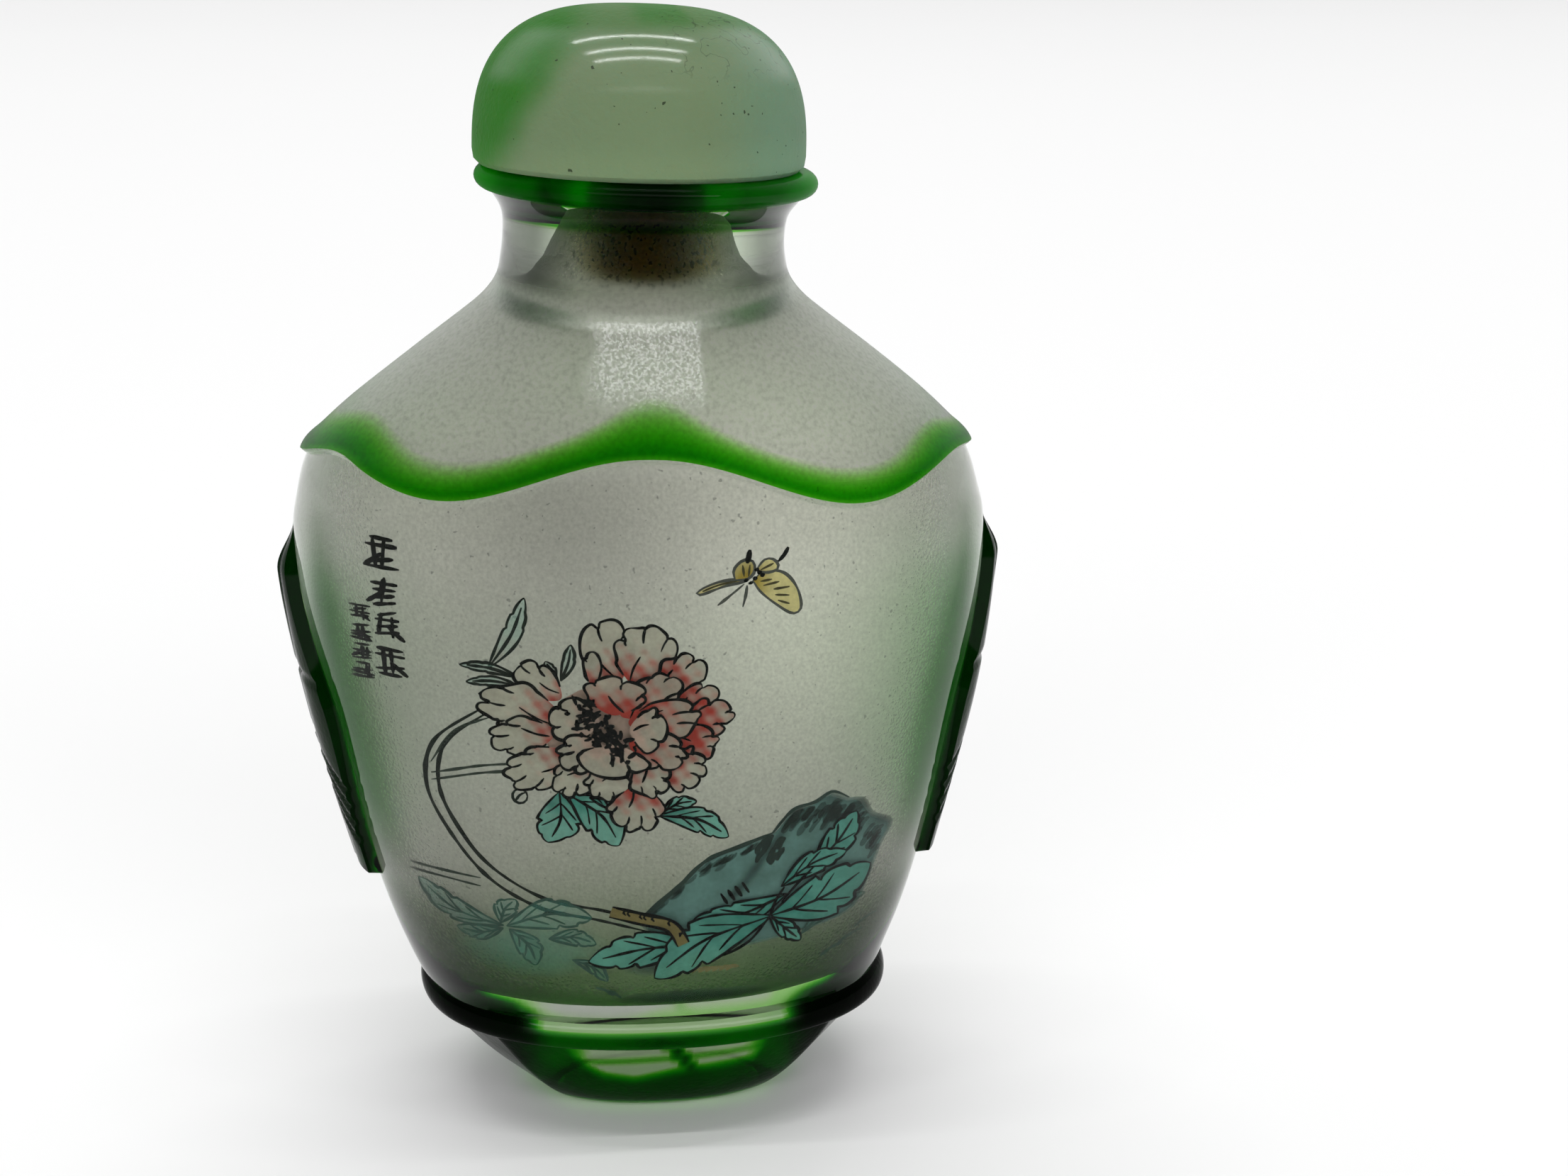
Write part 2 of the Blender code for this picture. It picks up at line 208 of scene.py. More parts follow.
class GlassSettings(bpy.types.PropertyGroup):
    """Fineness and colours of the bottle's glass."""
    leaf_columns: columns_property(
        "Leaf columns", "Columns of faces across half of a carved leaf", 18, 6, 40)
    rest_columns: columns_property(
        "Wall columns", "Columns of faces from a leaf to the middle of the front", 44, 10, 80)
    clear_tint: color_property(
        "Clear glass", "Share of light that the clear glass lets through", (0.86, 0.90, 0.83))
    frost_tint: color_property(
        "Frosting", "Share of light that the frosted inner wall lets through",
        (0.481, 0.461, 0.433))
    overlay_tint: color_property(
        "Overlay", "Share of light that one layer of the green overlay lets through",
        (0.06, 0.53, 0.012))
    # Painted glow: the green light that comes through the leaves, painted into the frosting beside
    # them
    painted_glow_tint: color_property(
        "Leaf glow", "Share of light left in the frosting beside a leaf", (0.11, 0.60, 0.09))


class StopperSettings(bpy.types.PropertyGroup):
    """Colours of the stopper."""
    celadon: color_property("Celadon", "Pale green of the cap", (0.210, 0.300, 0.160))
    celadon_deep: color_property("Deep celadon", "Saturated green along one side of the cap",
                                 (0.042, 0.215, 0.024))
    celadon_cool: color_property("Cool celadon", "Bluish green along the other side of the cap",
                                 (0.190, 0.320, 0.200))
    cork_brown: color_property("Cork", "Colour of the cork", (0.15, 0.095, 0.035))


class PaintSettings(bpy.types.PropertyGroup):
    """Colours of the painting on the inner wall."""
    ink: color_property("Ink", "Full-strength ink of outlines and writing", (0.005, 0.006, 0.005))
    pale_ink: color_property("Pale ink", "Watered ink of the stem", (0.045, 0.060, 0.048))
    cream: color_property("Petal cream", "Body of the petals", (0.62, 0.59, 0.49))
    red: color_property("Petal red", "Red at the foot of the petals", (0.47, 0.060, 0.045))
    teal: color_property("Leaf teal", "Body of the leaves", (0.180, 0.560, 0.470))
    deep_teal: color_property("Deep teal", "Shaded part of the leaves", (0.070, 0.320, 0.260))
    stone: color_property("Rock", "Body of the rock", (0.150, 0.290, 0.270))
    stone_shade: color_property("Rock shade", "Shaded part of the rock", (0.030, 0.050, 0.043))
    tan: color_property("Root tan", "Body of the root", (0.24, 0.19, 0.075))
    ochre: color_property("Wing ochre", "Body of the butterfly's wings", (0.80, 0.70, 0.33))


class StageSettings(bpy.types.PropertyGroup):
    """Floor, lights and camera."""
    floor_size: number_property("Floor size", "Width of the floor", 12.0, 1.0, unit="LENGTH")
    floor_tint: color_property("Floor", "Colour of the floor", (0.88, 0.88, 0.88))
    room_light: number_property("Room", "Brightness of the room all round", 0.25, high=5.0)
    back_light: number_property(
        "Light behind", "Brightness that the room gains behind the bottle", 0.7, high=5.0)
    front_panel: number_property(
        "Front panel", "Brightness of the wide low panel over the camera", 3.2)
    strip_light: number_property(
        "Strip lights", "Brightness of the three narrow lights overhead", 38.0)
    lens: number_property("Lens", "Focal length of the camera in millimetres", 54.1, 20.0, 200.0)


# ---- Shape of the bottle

def blend(a, b, t):
    return a + (b - a) * t


def smoothstep(t):
    t = np.clip(t, 0.0, 1.0)
    return t * t * (3 - 2 * t)


def ramp(value, start, end):
    """Rise smoothly from 0 at start to 1 at end, which may be the lower of the two."""
    return smoothstep((value - start) / (end - start))


def smooth_stations(stations, rows_per_span):
    """Rows of a smooth curve through the stations, which it passes exactly."""
    points = []
    last = len(stations) - 1
    for i in range(last):
        before, here = stations[max(i - 1, 0)], stations[i]
        there, after = stations[i + 1], stations[min(i + 2, last)]
        for step in range(rows_per_span):
            t = step / rows_per_span
            points.append([
                0.5 * (2 * b + (c - a) * t + (2 * a - 5 * b + 4 * c - d) * t ** 2
                       + (3 * b - a - 3 * c + d) * t ** 3)
                for a, b, c, d in zip(before, here, there, after)])
    points.append(list(stations[last]))
    return np.array(points)


BODY_CURVE = smooth_stations(BODY_STATIONS, 8)
SHOULDER_CURVE = smooth_stations(SHOULDER_STATIONS, 8)
HOLLOW_CURVE = smooth_stations(HOLLOW_STATIONS, 4)


def outline_at(curve, z):
    """Half width and half depth of a curve at a height, which may be an array."""
    if curve[0, 2] > curve[-1, 2]:
        curve = curve[::-1]
    return np.interp(z, curve[:, 2], curve[:, 0]), np.interp(z, curve[:, 2], curve[:, 1])


def oval(side, front, power, angle):
    """Points of a squarish oval, with angle 0 at +X and a quarter turn at +Y."""
    c, s = np.cos(angle), np.sin(angle)
    return (side * np.abs(c) ** (2 / power) * np.sign(c),
            front * np.abs(s) ** (2 / power) * np.sign(s))


def edge_height(angle):
    """Height of the carved edge at an angle round the bottle. It waves alike front and back."""
    from_front = angle + pi / 2
    swings = sum(size * np.cos(n * from_front) for n, size in EDGE_SWINGS.items())
    return EDGE_HEIGHT + EDGE_MEAN + swings + EDGE_LEAN * np.sin(2 * from_front)


def ring_power(z):
    """The rings turn from squarish ovals at the edge to true circles at the neck."""
    return blend(BODY_RING, ROUND_RING, ramp(z, EDGE_HEIGHT, SHOULDER_TOP))


def wander(z):
    """Sideways shift of the bottle's axis at a height."""
    shift = np.full(np.shape(z), AXIS_WANDER[-1][1])
    for low, high in reversed(list(zip(AXIS_WANDER, AXIS_WANDER[1:]))):
        shift = np.where(z <= high[0], blend(low[1], high[1], ramp(z, low[0], high[0])), shift)
    return shift


def by_hand(x, y, z):
    """Move points of the true shape to where the hand-worked bottle has them."""
    lean = ramp(z, NECK_WAIST_HEIGHT, LIP_UNDERSIDE)
    return np.stack([x + wander(z), y, z - x * tan(radians(LIP_LEAN)) * lean], axis=-1)


def leaf_half_width(along):
    """Half width of the leaf, from its narrow top (0) to its blunt foot (1)."""
    return (blend(LEAF_TIP_HALF_WIDTH, LEAF_HALF_WIDTH, ramp(along, 0, LEAF_WIDEST))
            - (LEAF_HALF_WIDTH - LEAF_END_HALF_WIDTH) * ramp(along, LEAF_WIDEST, 1))


def leaf_lift(along, across):
    """Height of the carved leaf over the wall: thick rounded top, midrib and slanting veins."""
    swell = smoothstep(0.04 + along / 0.15)
    crown = 1 - 0.25 * across ** 2
    midrib = LEAF_MIDRIB * np.maximum(0.0, 1 - np.abs(across) / 0.16)
    place = (along - LEAF_VEINS_START) / (LEAF_VEINS_END - LEAF_VEINS_START) - across * 0.55
    groove = np.maximum(0.0, 1 - np.abs(place * LEAF_VEINS % 1.0 - 0.5) / 0.3)
    depth = LEAF_VEIN_DEPTH * smoothstep(place / 0.1) * smoothstep((1 - place) / 0.1)
    notch = LEAF_NOTCH_DEPTH * np.maximum(0.0, 1 - np.abs(along - LEAF_NOTCH) / 0.02)
    return swell * (LEAF_PROUD * crown + midrib) - depth * groove - notch


# The bottle's glasses, in the order of its materials
CLEAR, OVERLAY, FROSTED, SOOTY = range(4)


class Skin:
    """Rows of the bottle's surface, from the foot up to the lip and back down inside."""

    def __init__(self, leaf_columns, rest_columns):
        leaf = np.arange(leaf_columns + 1) / leaf_columns
        self.flank = leaf_columns + 1
        self.across = np.concatenate([leaf, [1.004, 1.012], np.full(rest_columns, 2.0)])
        self.rest = np.arange(1, rest_columns + 1) / rest_columns
        self.rows, self.values = [], {}

    def whole_turn(self, quarter, change=lambda values, turn: values):
        """A quarter's values all the way round, with each second quarter mirrored."""
        quarters = [change(quarter[::-1] if turn % 2 else quarter, turn)[:-1]
                    for turn in range(4)]
        return np.concatenate(quarters + [change(quarter[:1], 4)])

    def angles(self, spread):
        """Column angles of a row where the leaf's half width is this share of the depth."""
        edge = self.across[:self.flank + 2] * spread
        near = np.arcsin(np.clip(edge, 0.0, 1.0) ** (BODY_RING / 2))
        quarter = np.concatenate([near, blend(near[-1], pi / 2, self.rest)])
        return self.whole_turn(quarter, lambda v, turn: (
            pi * ((turn + 1) // 2) + (-v if turn % 2 else v)))

    def add(self, x, y, z, overlay=0.0, glass=CLEAR, painted_shade=0.0, shine=WALL_SHINE):
        """Add a row. overlay is the green layer's thickness, painted_shade is painted shade that
        darkens it, shine is how much light it reflects, and glass says which glass it is."""
        x, y, z = np.broadcast_arrays(x, y, z)
        self.rows.append(by_hand(x, y, z))
        for name, value in {"overlay": overlay, "painted_shade": painted_shade, "shine": shine,
                            "glass": glass}.items():
            self.values.setdefault(name, []).append(np.broadcast_to(value, x.shape))


def leaf_spread(z):
    """Share of the wall's depth that the leaf takes at a height."""
    along = np.clip((LEAF_TOP - z) / (LEAF_TOP - LEAF_BOTTOM), 0.0, 1.0)
    return leaf_half_width(along) / outline_at(BODY_CURVE, z)[1]


def bowl_window(x, y, z):
    """1 in the thin place of the bowl's overlay at the front and back, and 0 elsewhere."""
    lower = np.interp(x, *np.array(BOWL_WINDOW).T)
    across = smoothstep((CLEAR_MIDDLE + 0.8 - np.abs(x)) / 3.2)
    return smoothstep((z - lower) / 1.8 + 0.35) * across * ramp(np.abs(y), 6, 8.5)


def bowl_green(x, y, z):
    """Thickness of the overlay on the bowl: dark, with a thin window at the front and back."""
    window = bowl_window(x, y, z)
    ledge = 0.35 * np.exp(-((z - 6.75 - 0.06 * x) / 0.30) ** 2)
    split = 2.2 * np.exp(-((x - 0.9 - (7.0 - z) * 0.48) / 0.38) ** 2)
    # Painted shade: the overlay thickens towards the bowl's sides, darkening its flanks; at the
    # back it stays thin
    facing = blend(1.0, 0.1, smoothstep(y / 3.0)) + smoothstep((np.abs(x) - CLEAR_MIDDLE) / 5)
    low = blend(0.1, 1.0, ramp(z, 0.6, 1.4))
    return blend(BOWL_GREEN, 0.05 + ledge + split, window) * facing * low


def add_foot(skin):
    """Recessed foot, bowl with four cut corners, and the bead on top of it."""
    rim_side, rim_front = FOOT_SIDE - FOOT_RIM_WIDTH, FOOT_FRONT - FOOT_RIM_WIDTH
    recess = FOOT_RECESS
    rows = [(0, 0, recess), (rim_side - recess, rim_front - recess, recess),
            (rim_side, rim_front, 0), (FOOT_SIDE - 0.25, FOOT_FRONT - 0.25, 0)]
    for share in np.linspace(0, 1, 41):
        rise = blend(0.0015, 1.0, share ** 1.3)
        rows.append((blend(FOOT_SIDE, BOWL_SIDE, rise ** BOWL_POWER),
                     blend(FOOT_FRONT, BOWL_FRONT, rise ** BOWL_POWER), BOWL_TOP * rise))
    angle = skin.angles(leaf_spread(LEAF_BOTTOM))
    facing = radians(CORNER_DIRECTION)
    for side, front, z in rows:
        x, y = oval(1.0, 1.0, BODY_RING, angle)
        reach = np.abs(x) * cos(facing) + np.abs(y) * sin(facing)
        cut = np.minimum(1.0, CORNER_DEPTH / reach)
        x, y = x * cut * side, y * cut * front
        # Painted shade greys the thin window a little
        skin.add(x, y, z, bowl_green(x, y, z), OVERLAY, 0.5 * bowl_window(x, y, z), 0.0)
    # The bead is thin and glints on top, before the clear middle, and thick at its ends, where
    # painted shade darkens it
    for degrees in range(-70, 71, 14):
        out = BEAD_PROUD * cos(radians(degrees))
        z = BOWL_TOP + BEAD_HALF_HEIGHT * (1 + sin(radians(degrees)))
        x, y = oval(BOWL_SIDE + out, BOWL_FRONT + out, BODY_RING, angle)
        thin_top = ramp(degrees, -5, 30) * ramp(np.abs(x), 10.6, 8.6)
        ends = smoothstep((np.abs(x) - CLEAR_MIDDLE) / 2.5)
        painted_shade = blend(blend(0.35, 0.92, ends), 0.3, thin_top ** 3)
        skin.add(x, y, z, blend(BEAD_GREEN + 1.5 * ends, 0.07, thin_top), OVERLAY, painted_shade,
                 0.03 + 0.5 * thin_top)


def add_body(skin):
    """Wall from the bead to the carved edge, with a carved leaf standing on each side."""
    bottom = BODY_STATIONS[0][2]
    levels = [(z, False) for z in np.linspace(bottom, LEAF_BOTTOM - 0.06, 14)]
    levels += [(z, True) for z in np.linspace(LEAF_BOTTOM, LEAF_TOP, 90)]
    for z, on_leaf in levels:
        angle = skin.angles(leaf_spread(z))
        x, y = oval(*outline_at(BODY_CURVE, z), BODY_RING, angle)
        # Low on the wall the middle stays clear and its sides turn green, then dark: painted shade,
        # which also darkens the wall's lower sides further up
        low = smoothstep((LOW_WALL_TOP - z + 2.6 * (x / 16) ** 4) / 1.2)
        outer = smoothstep((np.abs(x) - CLEAR_MIDDLE - 0.5) / 3)
        painted_shade = 0.5 * ramp(z, 24, 16) * ramp(np.abs(x), 11, 16) * (1 - low)
        dark = smoothstep((np.abs(x) - CLEAR_MIDDLE + 0.2) / 1.8)
        painted_shade = np.minimum(0.95, painted_shade + blend(0.2 * low, 0.92 * smoothstep(low * 3), dark))
        green, glass = low * blend(0.08, 4.0, outer), CLEAR
        if on_leaf:
            lift, green, glass, dark = leaf_row(skin, (LEAF_TOP - z) / (LEAF_TOP - LEAF_BOTTOM))
            painted_shade = np.maximum(painted_shade, dark)
            x = x + lift * np.sign(x)
        skin.add(x, y, z, green, glass, painted_shade, WALL_SHINE * (1 - low))
    for share in np.linspace(0, 1, 19)[1:]:
        angle = skin.angles(blend(leaf_spread(LEAF_TOP), UPPER_SPREAD, smoothstep(share)))
        z = blend(LEAF_TOP, edge_height(angle) - EDGE_UNDERCUT, share)
        x, y = oval(*outline_at(BODY_CURVE, z), BODY_RING, angle)
        skin.add(x, y, z)


def leaf_row(skin, along):
    """Lift, green thickness, glass and painted shade of one row of the leaves.

    Towards the leaf's foot its flank stands out further, and the glass beside it is painted darker.
    """
    across = skin.across
    on = across <= 1.0
    lift = np.where(on, leaf_lift(along, np.minimum(across, 1.0)), 0.0)
    lift[skin.flank] = lift[skin.flank - 1] * 0.75 * ramp(along, 0.15, 1)
    green = np.where(on, LEAF_GREEN, 0.0)
    glass = np.where(on, OVERLAY, CLEAR)
    green[skin.flank:skin.flank + 2] = LEAF_GREEN, 0.2
    glass[skin.flank] = OVERLAY
    painted_shade = np.zeros(across.shape)
    painted_shade[skin.flank:skin.flank + 2] = 0.55 * ramp(along, 0.5, 0.8)
    return [skin.whole_turn(values) for values in (lift, green, glass, painted_shade)]


def add_shoulder(skin):
    """Carved edge and the shoulder above it, where the green fades upward, to a soft neck base."""
    angle = skin.angles(UPPER_SPREAD)
    edge = edge_height(angle)
    crest = np.exp(-(np.cos(angle) * 24 / 3.5) ** 2)
    side_end = np.abs(np.cos(angle)) ** 6 * np.where(np.cos(angle) < 0, FADE_LEFT, FADE_RIGHT)
    fillet_share = 1 - NECK_FILLET / (SHOULDER_TOP - EDGE_HEIGHT)
    fine = 0.012 + (fillet_share - 0.012) * np.linspace(0, 1, 36) ** 1.4
    for share in (-0.003, 0.0, 0.006, *fine):
        z = blend(edge, SHOULDER_TOP, share)
        x, y = oval(*outline_at(SHOULDER_CURVE, z), ring_power(z), angle)
        rise = (z - edge) / (FADE_HEIGHT + FADE_MIDDLE * crest + side_end)
        fade = np.clip(1 - rise, 0.0, 1.0) ** 1.35
        green = EDGE_GREEN * fade * blend(0.45, 1.0, smoothstep((z - edge) / 0.5))
        skin.add(x, y, z, green if share >= 0 else 0.0, shine=0.0)
    low = np.array([x, y, z])
    neck_foot, neck_start = NECK_STATIONS[0]
    crease, high = (np.array([*oval(side, front, ROUND_RING, angle), np.full_like(x, height)])
                    for side, front, height in (NECK_CREASE, (neck_foot, neck_foot, neck_start)))
    for t in np.linspace(0, 1, 9)[1:]:
        x, y, z = (1 - t) ** 2 * low + 2 * t * (1 - t) * crease + t ** 2 * high
        skin.add(x, y, z, *neck_glass(x, z, smoothstep(t * 2 - 0.9)))


def neck_glass(x, z, share):
    """Green, glass, painted shade and shine of the neck: painted darker at the sides, clearer
    before the cork.
    """
    side = ramp(np.abs(x), 4, 8)
    return (0.02 * share, CLEAR, share * blend(0.22, NECK_PAINTED_SHADE + 0.04 * (x < 0), side),
            0.12 * ramp(z, 62.2, 64.6) * side)


def add_lip(skin):
    """Waist of the neck, rolled lip, its flat top and the mouth of the bore."""
    angle = skin.angles(UPPER_SPREAD)
    # Painted reflection: a faint green band on the neck just under the lip, where the lip's green
    # shows
    rows = [(r, z, 0.45 * smoothstep(1 - abs(z - LIP_UNDERSIDE + 1.35) / 0.5), CLEAR)
            for r, z in smooth_stations(NECK_STATIONS, 5)[1:-1]]
    for turn in np.linspace(-pi / 2, pi / 2, 13):
        rows.append((LIP_RADIUS - LIP_ROUND + LIP_ROUND * cos(turn),
                     LIP_TOP - LIP_HALF_HEIGHT + LIP_HALF_HEIGHT * sin(turn), LIP_GREEN, OVERLAY))
    for r in np.linspace(LIP_RADIUS - LIP_ROUND - 0.6, BORE_RADIUS + GAP, 8):
        rows.append((r, LIP_TOP, LIP_GREEN, OVERLAY))
    for r, z, green, glass in rows:
        x, y = oval(r, r, ROUND_RING, angle)
        # The green's thickness is uneven round the ring, with painted light and shade: thicker and
        # darker at the front and back, thinner and lighter towards the sides
        lip_uneven_and_painted_shade = 1 + 0.8 * np.abs(np.sin(angle)) ** 6 + 0.12 * np.sin(7 * angle)
        lip_uneven_and_painted_shade = lip_uneven_and_painted_shade + 0.9 * np.exp(-((angle - radians(236)) / 0.11) ** 2)
        lip_uneven_and_painted_shade = lip_uneven_and_painted_shade - 0.45 * smoothstep(np.abs(x) / 8)
        thin, _, painted_shade, shine = neck_glass(x, z, 1.0)
        if glass == OVERLAY:
            thin, painted_shade, shine = 0.0, 0.0, WALL_SHINE + 0.15 * smoothstep(x / 8)
        skin.add(x, y, z, green * lip_uneven_and_painted_shade + thin, glass, painted_shade, shine)


def add_hollow(skin):
    """Frosted inner wall, from the mouth of the bore down to the floor of the hollow."""
    angle = skin.angles(UPPER_SPREAD)
    rows = [(BORE_RADIUS, BORE_RADIUS, LIP_TOP - GAP)] + [tuple(row) for row in HOLLOW_CURVE]
    side, front, height = HOLLOW_STATIONS[-1]
    rows += [(side * s, front * s, blend(HOLLOW_FLOOR, height, s ** 2))
             for s in (0.8, 0.55, 0.3, 0.0)]
    for side, front, z in rows:
        x, y = oval(side, front, ring_power(z), angle)
        skin.add(x, y, z, glass=SOOTY if z > SOOT_BOTTOM else FROSTED)


def frost_shade(points, settings):
    """Colour of the frosting at points of the inner wall, with painted light and shade, and how
    sooty it is round the cork.
    """
    x, z = points[:, 0], points[:, 2]
    # Painted glow: green light through the leaves, painted into the frosting near its sides along
    # the leaves' height
    side = outline_at(HOLLOW_CURVE, z)[0]
    inward = side - np.abs(x - wander(z))
    tall = ramp(z, 20, 27) * ramp(z, 44, 38)
    reach = blend(0.62, 1.1, ramp(x, -5, 5))
    glow = 2.4 * tall * np.exp(-np.maximum(0.0, inward) / reach) + 0.03 * tall

    def spot(x0, z0, width, height):
        return np.exp(-((x - x0) / width) ** 2 - ((z - z0) / height) ** 2)

    # Painted light and shade: lighter and darker patches on the frosting, and lighter high up under
    # the shoulder
    painted_light = 0.96 + 0.64 * spot(10.5, 40, 8.5, 13.0) + 0.2 * spot(-16, 47, 4.5, 6.0)
    painted_light = painted_light - 0.25 * spot(-5, 46, 6.5, 5.0) + 0.26 * ramp(z, 49, 53)
    tint = np.array(settings.frost_tint) * painted_light[:, None]
    tint = tint * np.array(settings.painted_glow_tint) ** glow[:, None]
    # Painted shade: low on the wall the frosting is darker and greener
    tint = tint * np.array(FOOT_SHADE_TINT) ** ramp(z, 19, 11)[:, None]
    soot = ramp(z, SOOT_BOTTOM, SOOT_BOTTOM + 4) * ramp(z, 68, 67) * ramp(np.abs(x), 7, 3.5)
    # Painted shadow: the cork's brown, painted where it stands behind the frosting in the neck
    cork_shadow = ramp(z, 61.8, 63.3) * ramp(np.abs(x - 0.3), 4.3, 2.5)
    tint = tint * np.array(CORK_SHADOW_TINT) ** cork_shadow[:, None]
    return np.clip(tint, 0.0, 1.0), soot


# ---- Meshes

def deselect_all():
    for obj in bpy.context.selected_objects:
        obj.select_set(False)


def draped_grid(name, points):
    """A grid primitive laid over rows of points in millimetres.

    Returns the object, and each vertex's row and column.
    """
    rows, columns = points.shape[:2]
    deselect_all()
    bpy.ops.mesh.primitive_grid_add(x_subdivisions=columns - 1, y_subdivisions=rows - 1, size=1.0)
    obj = bpy.context.object
    obj.name = obj.data.name = name
    flat = np.empty(len(obj.data.vertices) * 3)
    obj.data.vertices.foreach_get("co", flat)
    flat = flat.reshape(-1, 3)
    column = np.rint((flat[:, 0] + 0.5) * (columns - 1)).astype(int)
    row = np.rint((flat[:, 1] + 0.5) * (rows - 1)).astype(int)
    obj.data.vertices.foreach_set("co", (points[row, column] * MM).ravel())
    return obj, row, column


def float_attribute(mesh, name, values):
    attribute = mesh.attributes.new(name, "FLOAT", "POINT")
    attribute.data.foreach_set("value", np.asarray(values, dtype=np.float32))


def color_attribute(mesh, name, colors):
    """Colours may be RGB, which are then opaque, or RGBA."""
    if colors.shape[1] == 3:
        colors = np.column_stack([colors, np.ones(len(colors))])
    attribute = mesh.attributes.new(name, "FLOAT_COLOR", "POINT")
    attribute.data.foreach_set("color", np.ascontiguousarray(colors, dtype=np.float32).ravel())


def close_up(obj):
    """Merge the seams and poles of grids and turn their faces outward."""
    bpy.context.view_layer.objects.active = obj
    bpy.ops.object.mode_set(mode="EDIT")
    bpy.ops.mesh.select_all(action="SELECT")
    bpy.ops.mesh.remove_doubles(threshold=SEAM)
    bpy.ops.mesh.normals_make_consistent(inside=False)
    bpy.ops.object.mode_set(mode="OBJECT")


def finish_piece(obj, materials, node=None):
    """Smooth a piece, give it its materials, hang it on the bottle's body and hide the frame's part
    that it stands for.
    """
    deselect_all()
    obj.select_set(True)
    bpy.context.view_layer.objects.active = obj
    bpy.ops.object.shade_smooth_by_angle(angle=radians(SHARP_DEGREES))
    for material in materials:
        obj.data.materials.append(material)
    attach(obj, BODY)
    if node:
        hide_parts(node)
    return obj


# ---- Painting on the inner wall. Places are across (x) and up (z) on the front, in millimetres.

def wall_points(x, z, depth):
    """Points of the front inner wall, moved this far out into the glass."""
    def wall(x, z):
        side, front = outline_at(HOLLOW_CURVE, z)
        power = ring_power(z)
        across = np.clip(np.abs(x - wander(z)) / side, 0.0, 0.98)
        return np.stack([x, -front * (1 - across ** power) ** (1 / power), z], axis=-1)

    step = 0.05
    outward = np.cross(wall(x + step, z) - wall(x - step, z), wall(x, z + step) - wall(x, z - step))
    outward /= np.linalg.norm(outward, axis=-1, keepdims=True)
    return wall(x, z) + outward * depth


def curve_through(places, spacing):
    """Evenly close points on a smooth line through a few places."""
    places = np.array(places, dtype=float)
    dense = smooth_stations(places, 12)
    length = np.concatenate([[0.0], np.cumsum(np.hypot(*np.diff(dense, axis=0).T))])
    count = max(3, int(length[-1] / spacing) + 2)
    even = np.linspace(0.0, length[-1], count)
    return np.column_stack([np.interp(even, length, dense[:, i]) for i in (0, 1)])


def headings(path):
    """Unit directions along a path."""
    ahead = np.gradient(path, axis=0)
    return ahead / np.maximum(np.hypot(*ahead.T), 1e-6)[:, None]


def sides(path, half):
    """The two edges of a brush line or a root, this far to the left and right of its path."""
    ahead = headings(path)
    aside = np.column_stack([-ahead[:, 1], ahead[:, 0]]) * half
    return path + aside, path - aside


def round_outline(centre, width, height, count):
    """Places on an oval, with its half width and half height."""
    turn = np.linspace(0, 2 * pi, count + 1)[:-1]
    return np.column_stack([centre[0] + width * np.cos(turn), centre[1] + height * np.sin(turn)])


def mixed(first, second, share):
    """A colour this share of the way from the first to the second."""
    return [blend(a, b, share) for a, b in zip(first, second)]


def scaled(color, factor):
    """A colour darker or lighter by a factor, which may be a value in a shader tree."""
    return [c * factor for c in color]


def rgba(color, strength):
    """A colour, or one for each place, with a strength for each place."""
    color = np.broadcast_to(color, (*strength.shape, 3))
    return np.concatenate([color, strength[..., None]], axis=-1)


class Span:
    """The line from the foot of a petal or leaf to its tip."""

    def __init__(self, foot, tip):
        self.foot, self.tip = np.array(foot), np.array(tip)
        self.reach = np.hypot(*(self.tip - self.foot))
        self.ahead = (self.tip - self.foot) / self.reach
        self.aside = np.array([-self.ahead[1], self.ahead[0]])

    def places(self, along, across):
        """Places a share of the way along the line and so many millimetres to its left."""
        return (self.foot + np.multiply.outer(along * self.reach, self.ahead)
                + np.multiply.outer(across, self.aside))

    def along(self, x, z):
        """Share of the way along the line at which places stand."""
        return ((x - self.foot[0]) * self.ahead[0]
                + (z - self.foot[1]) * self.ahead[1]) / self.reach


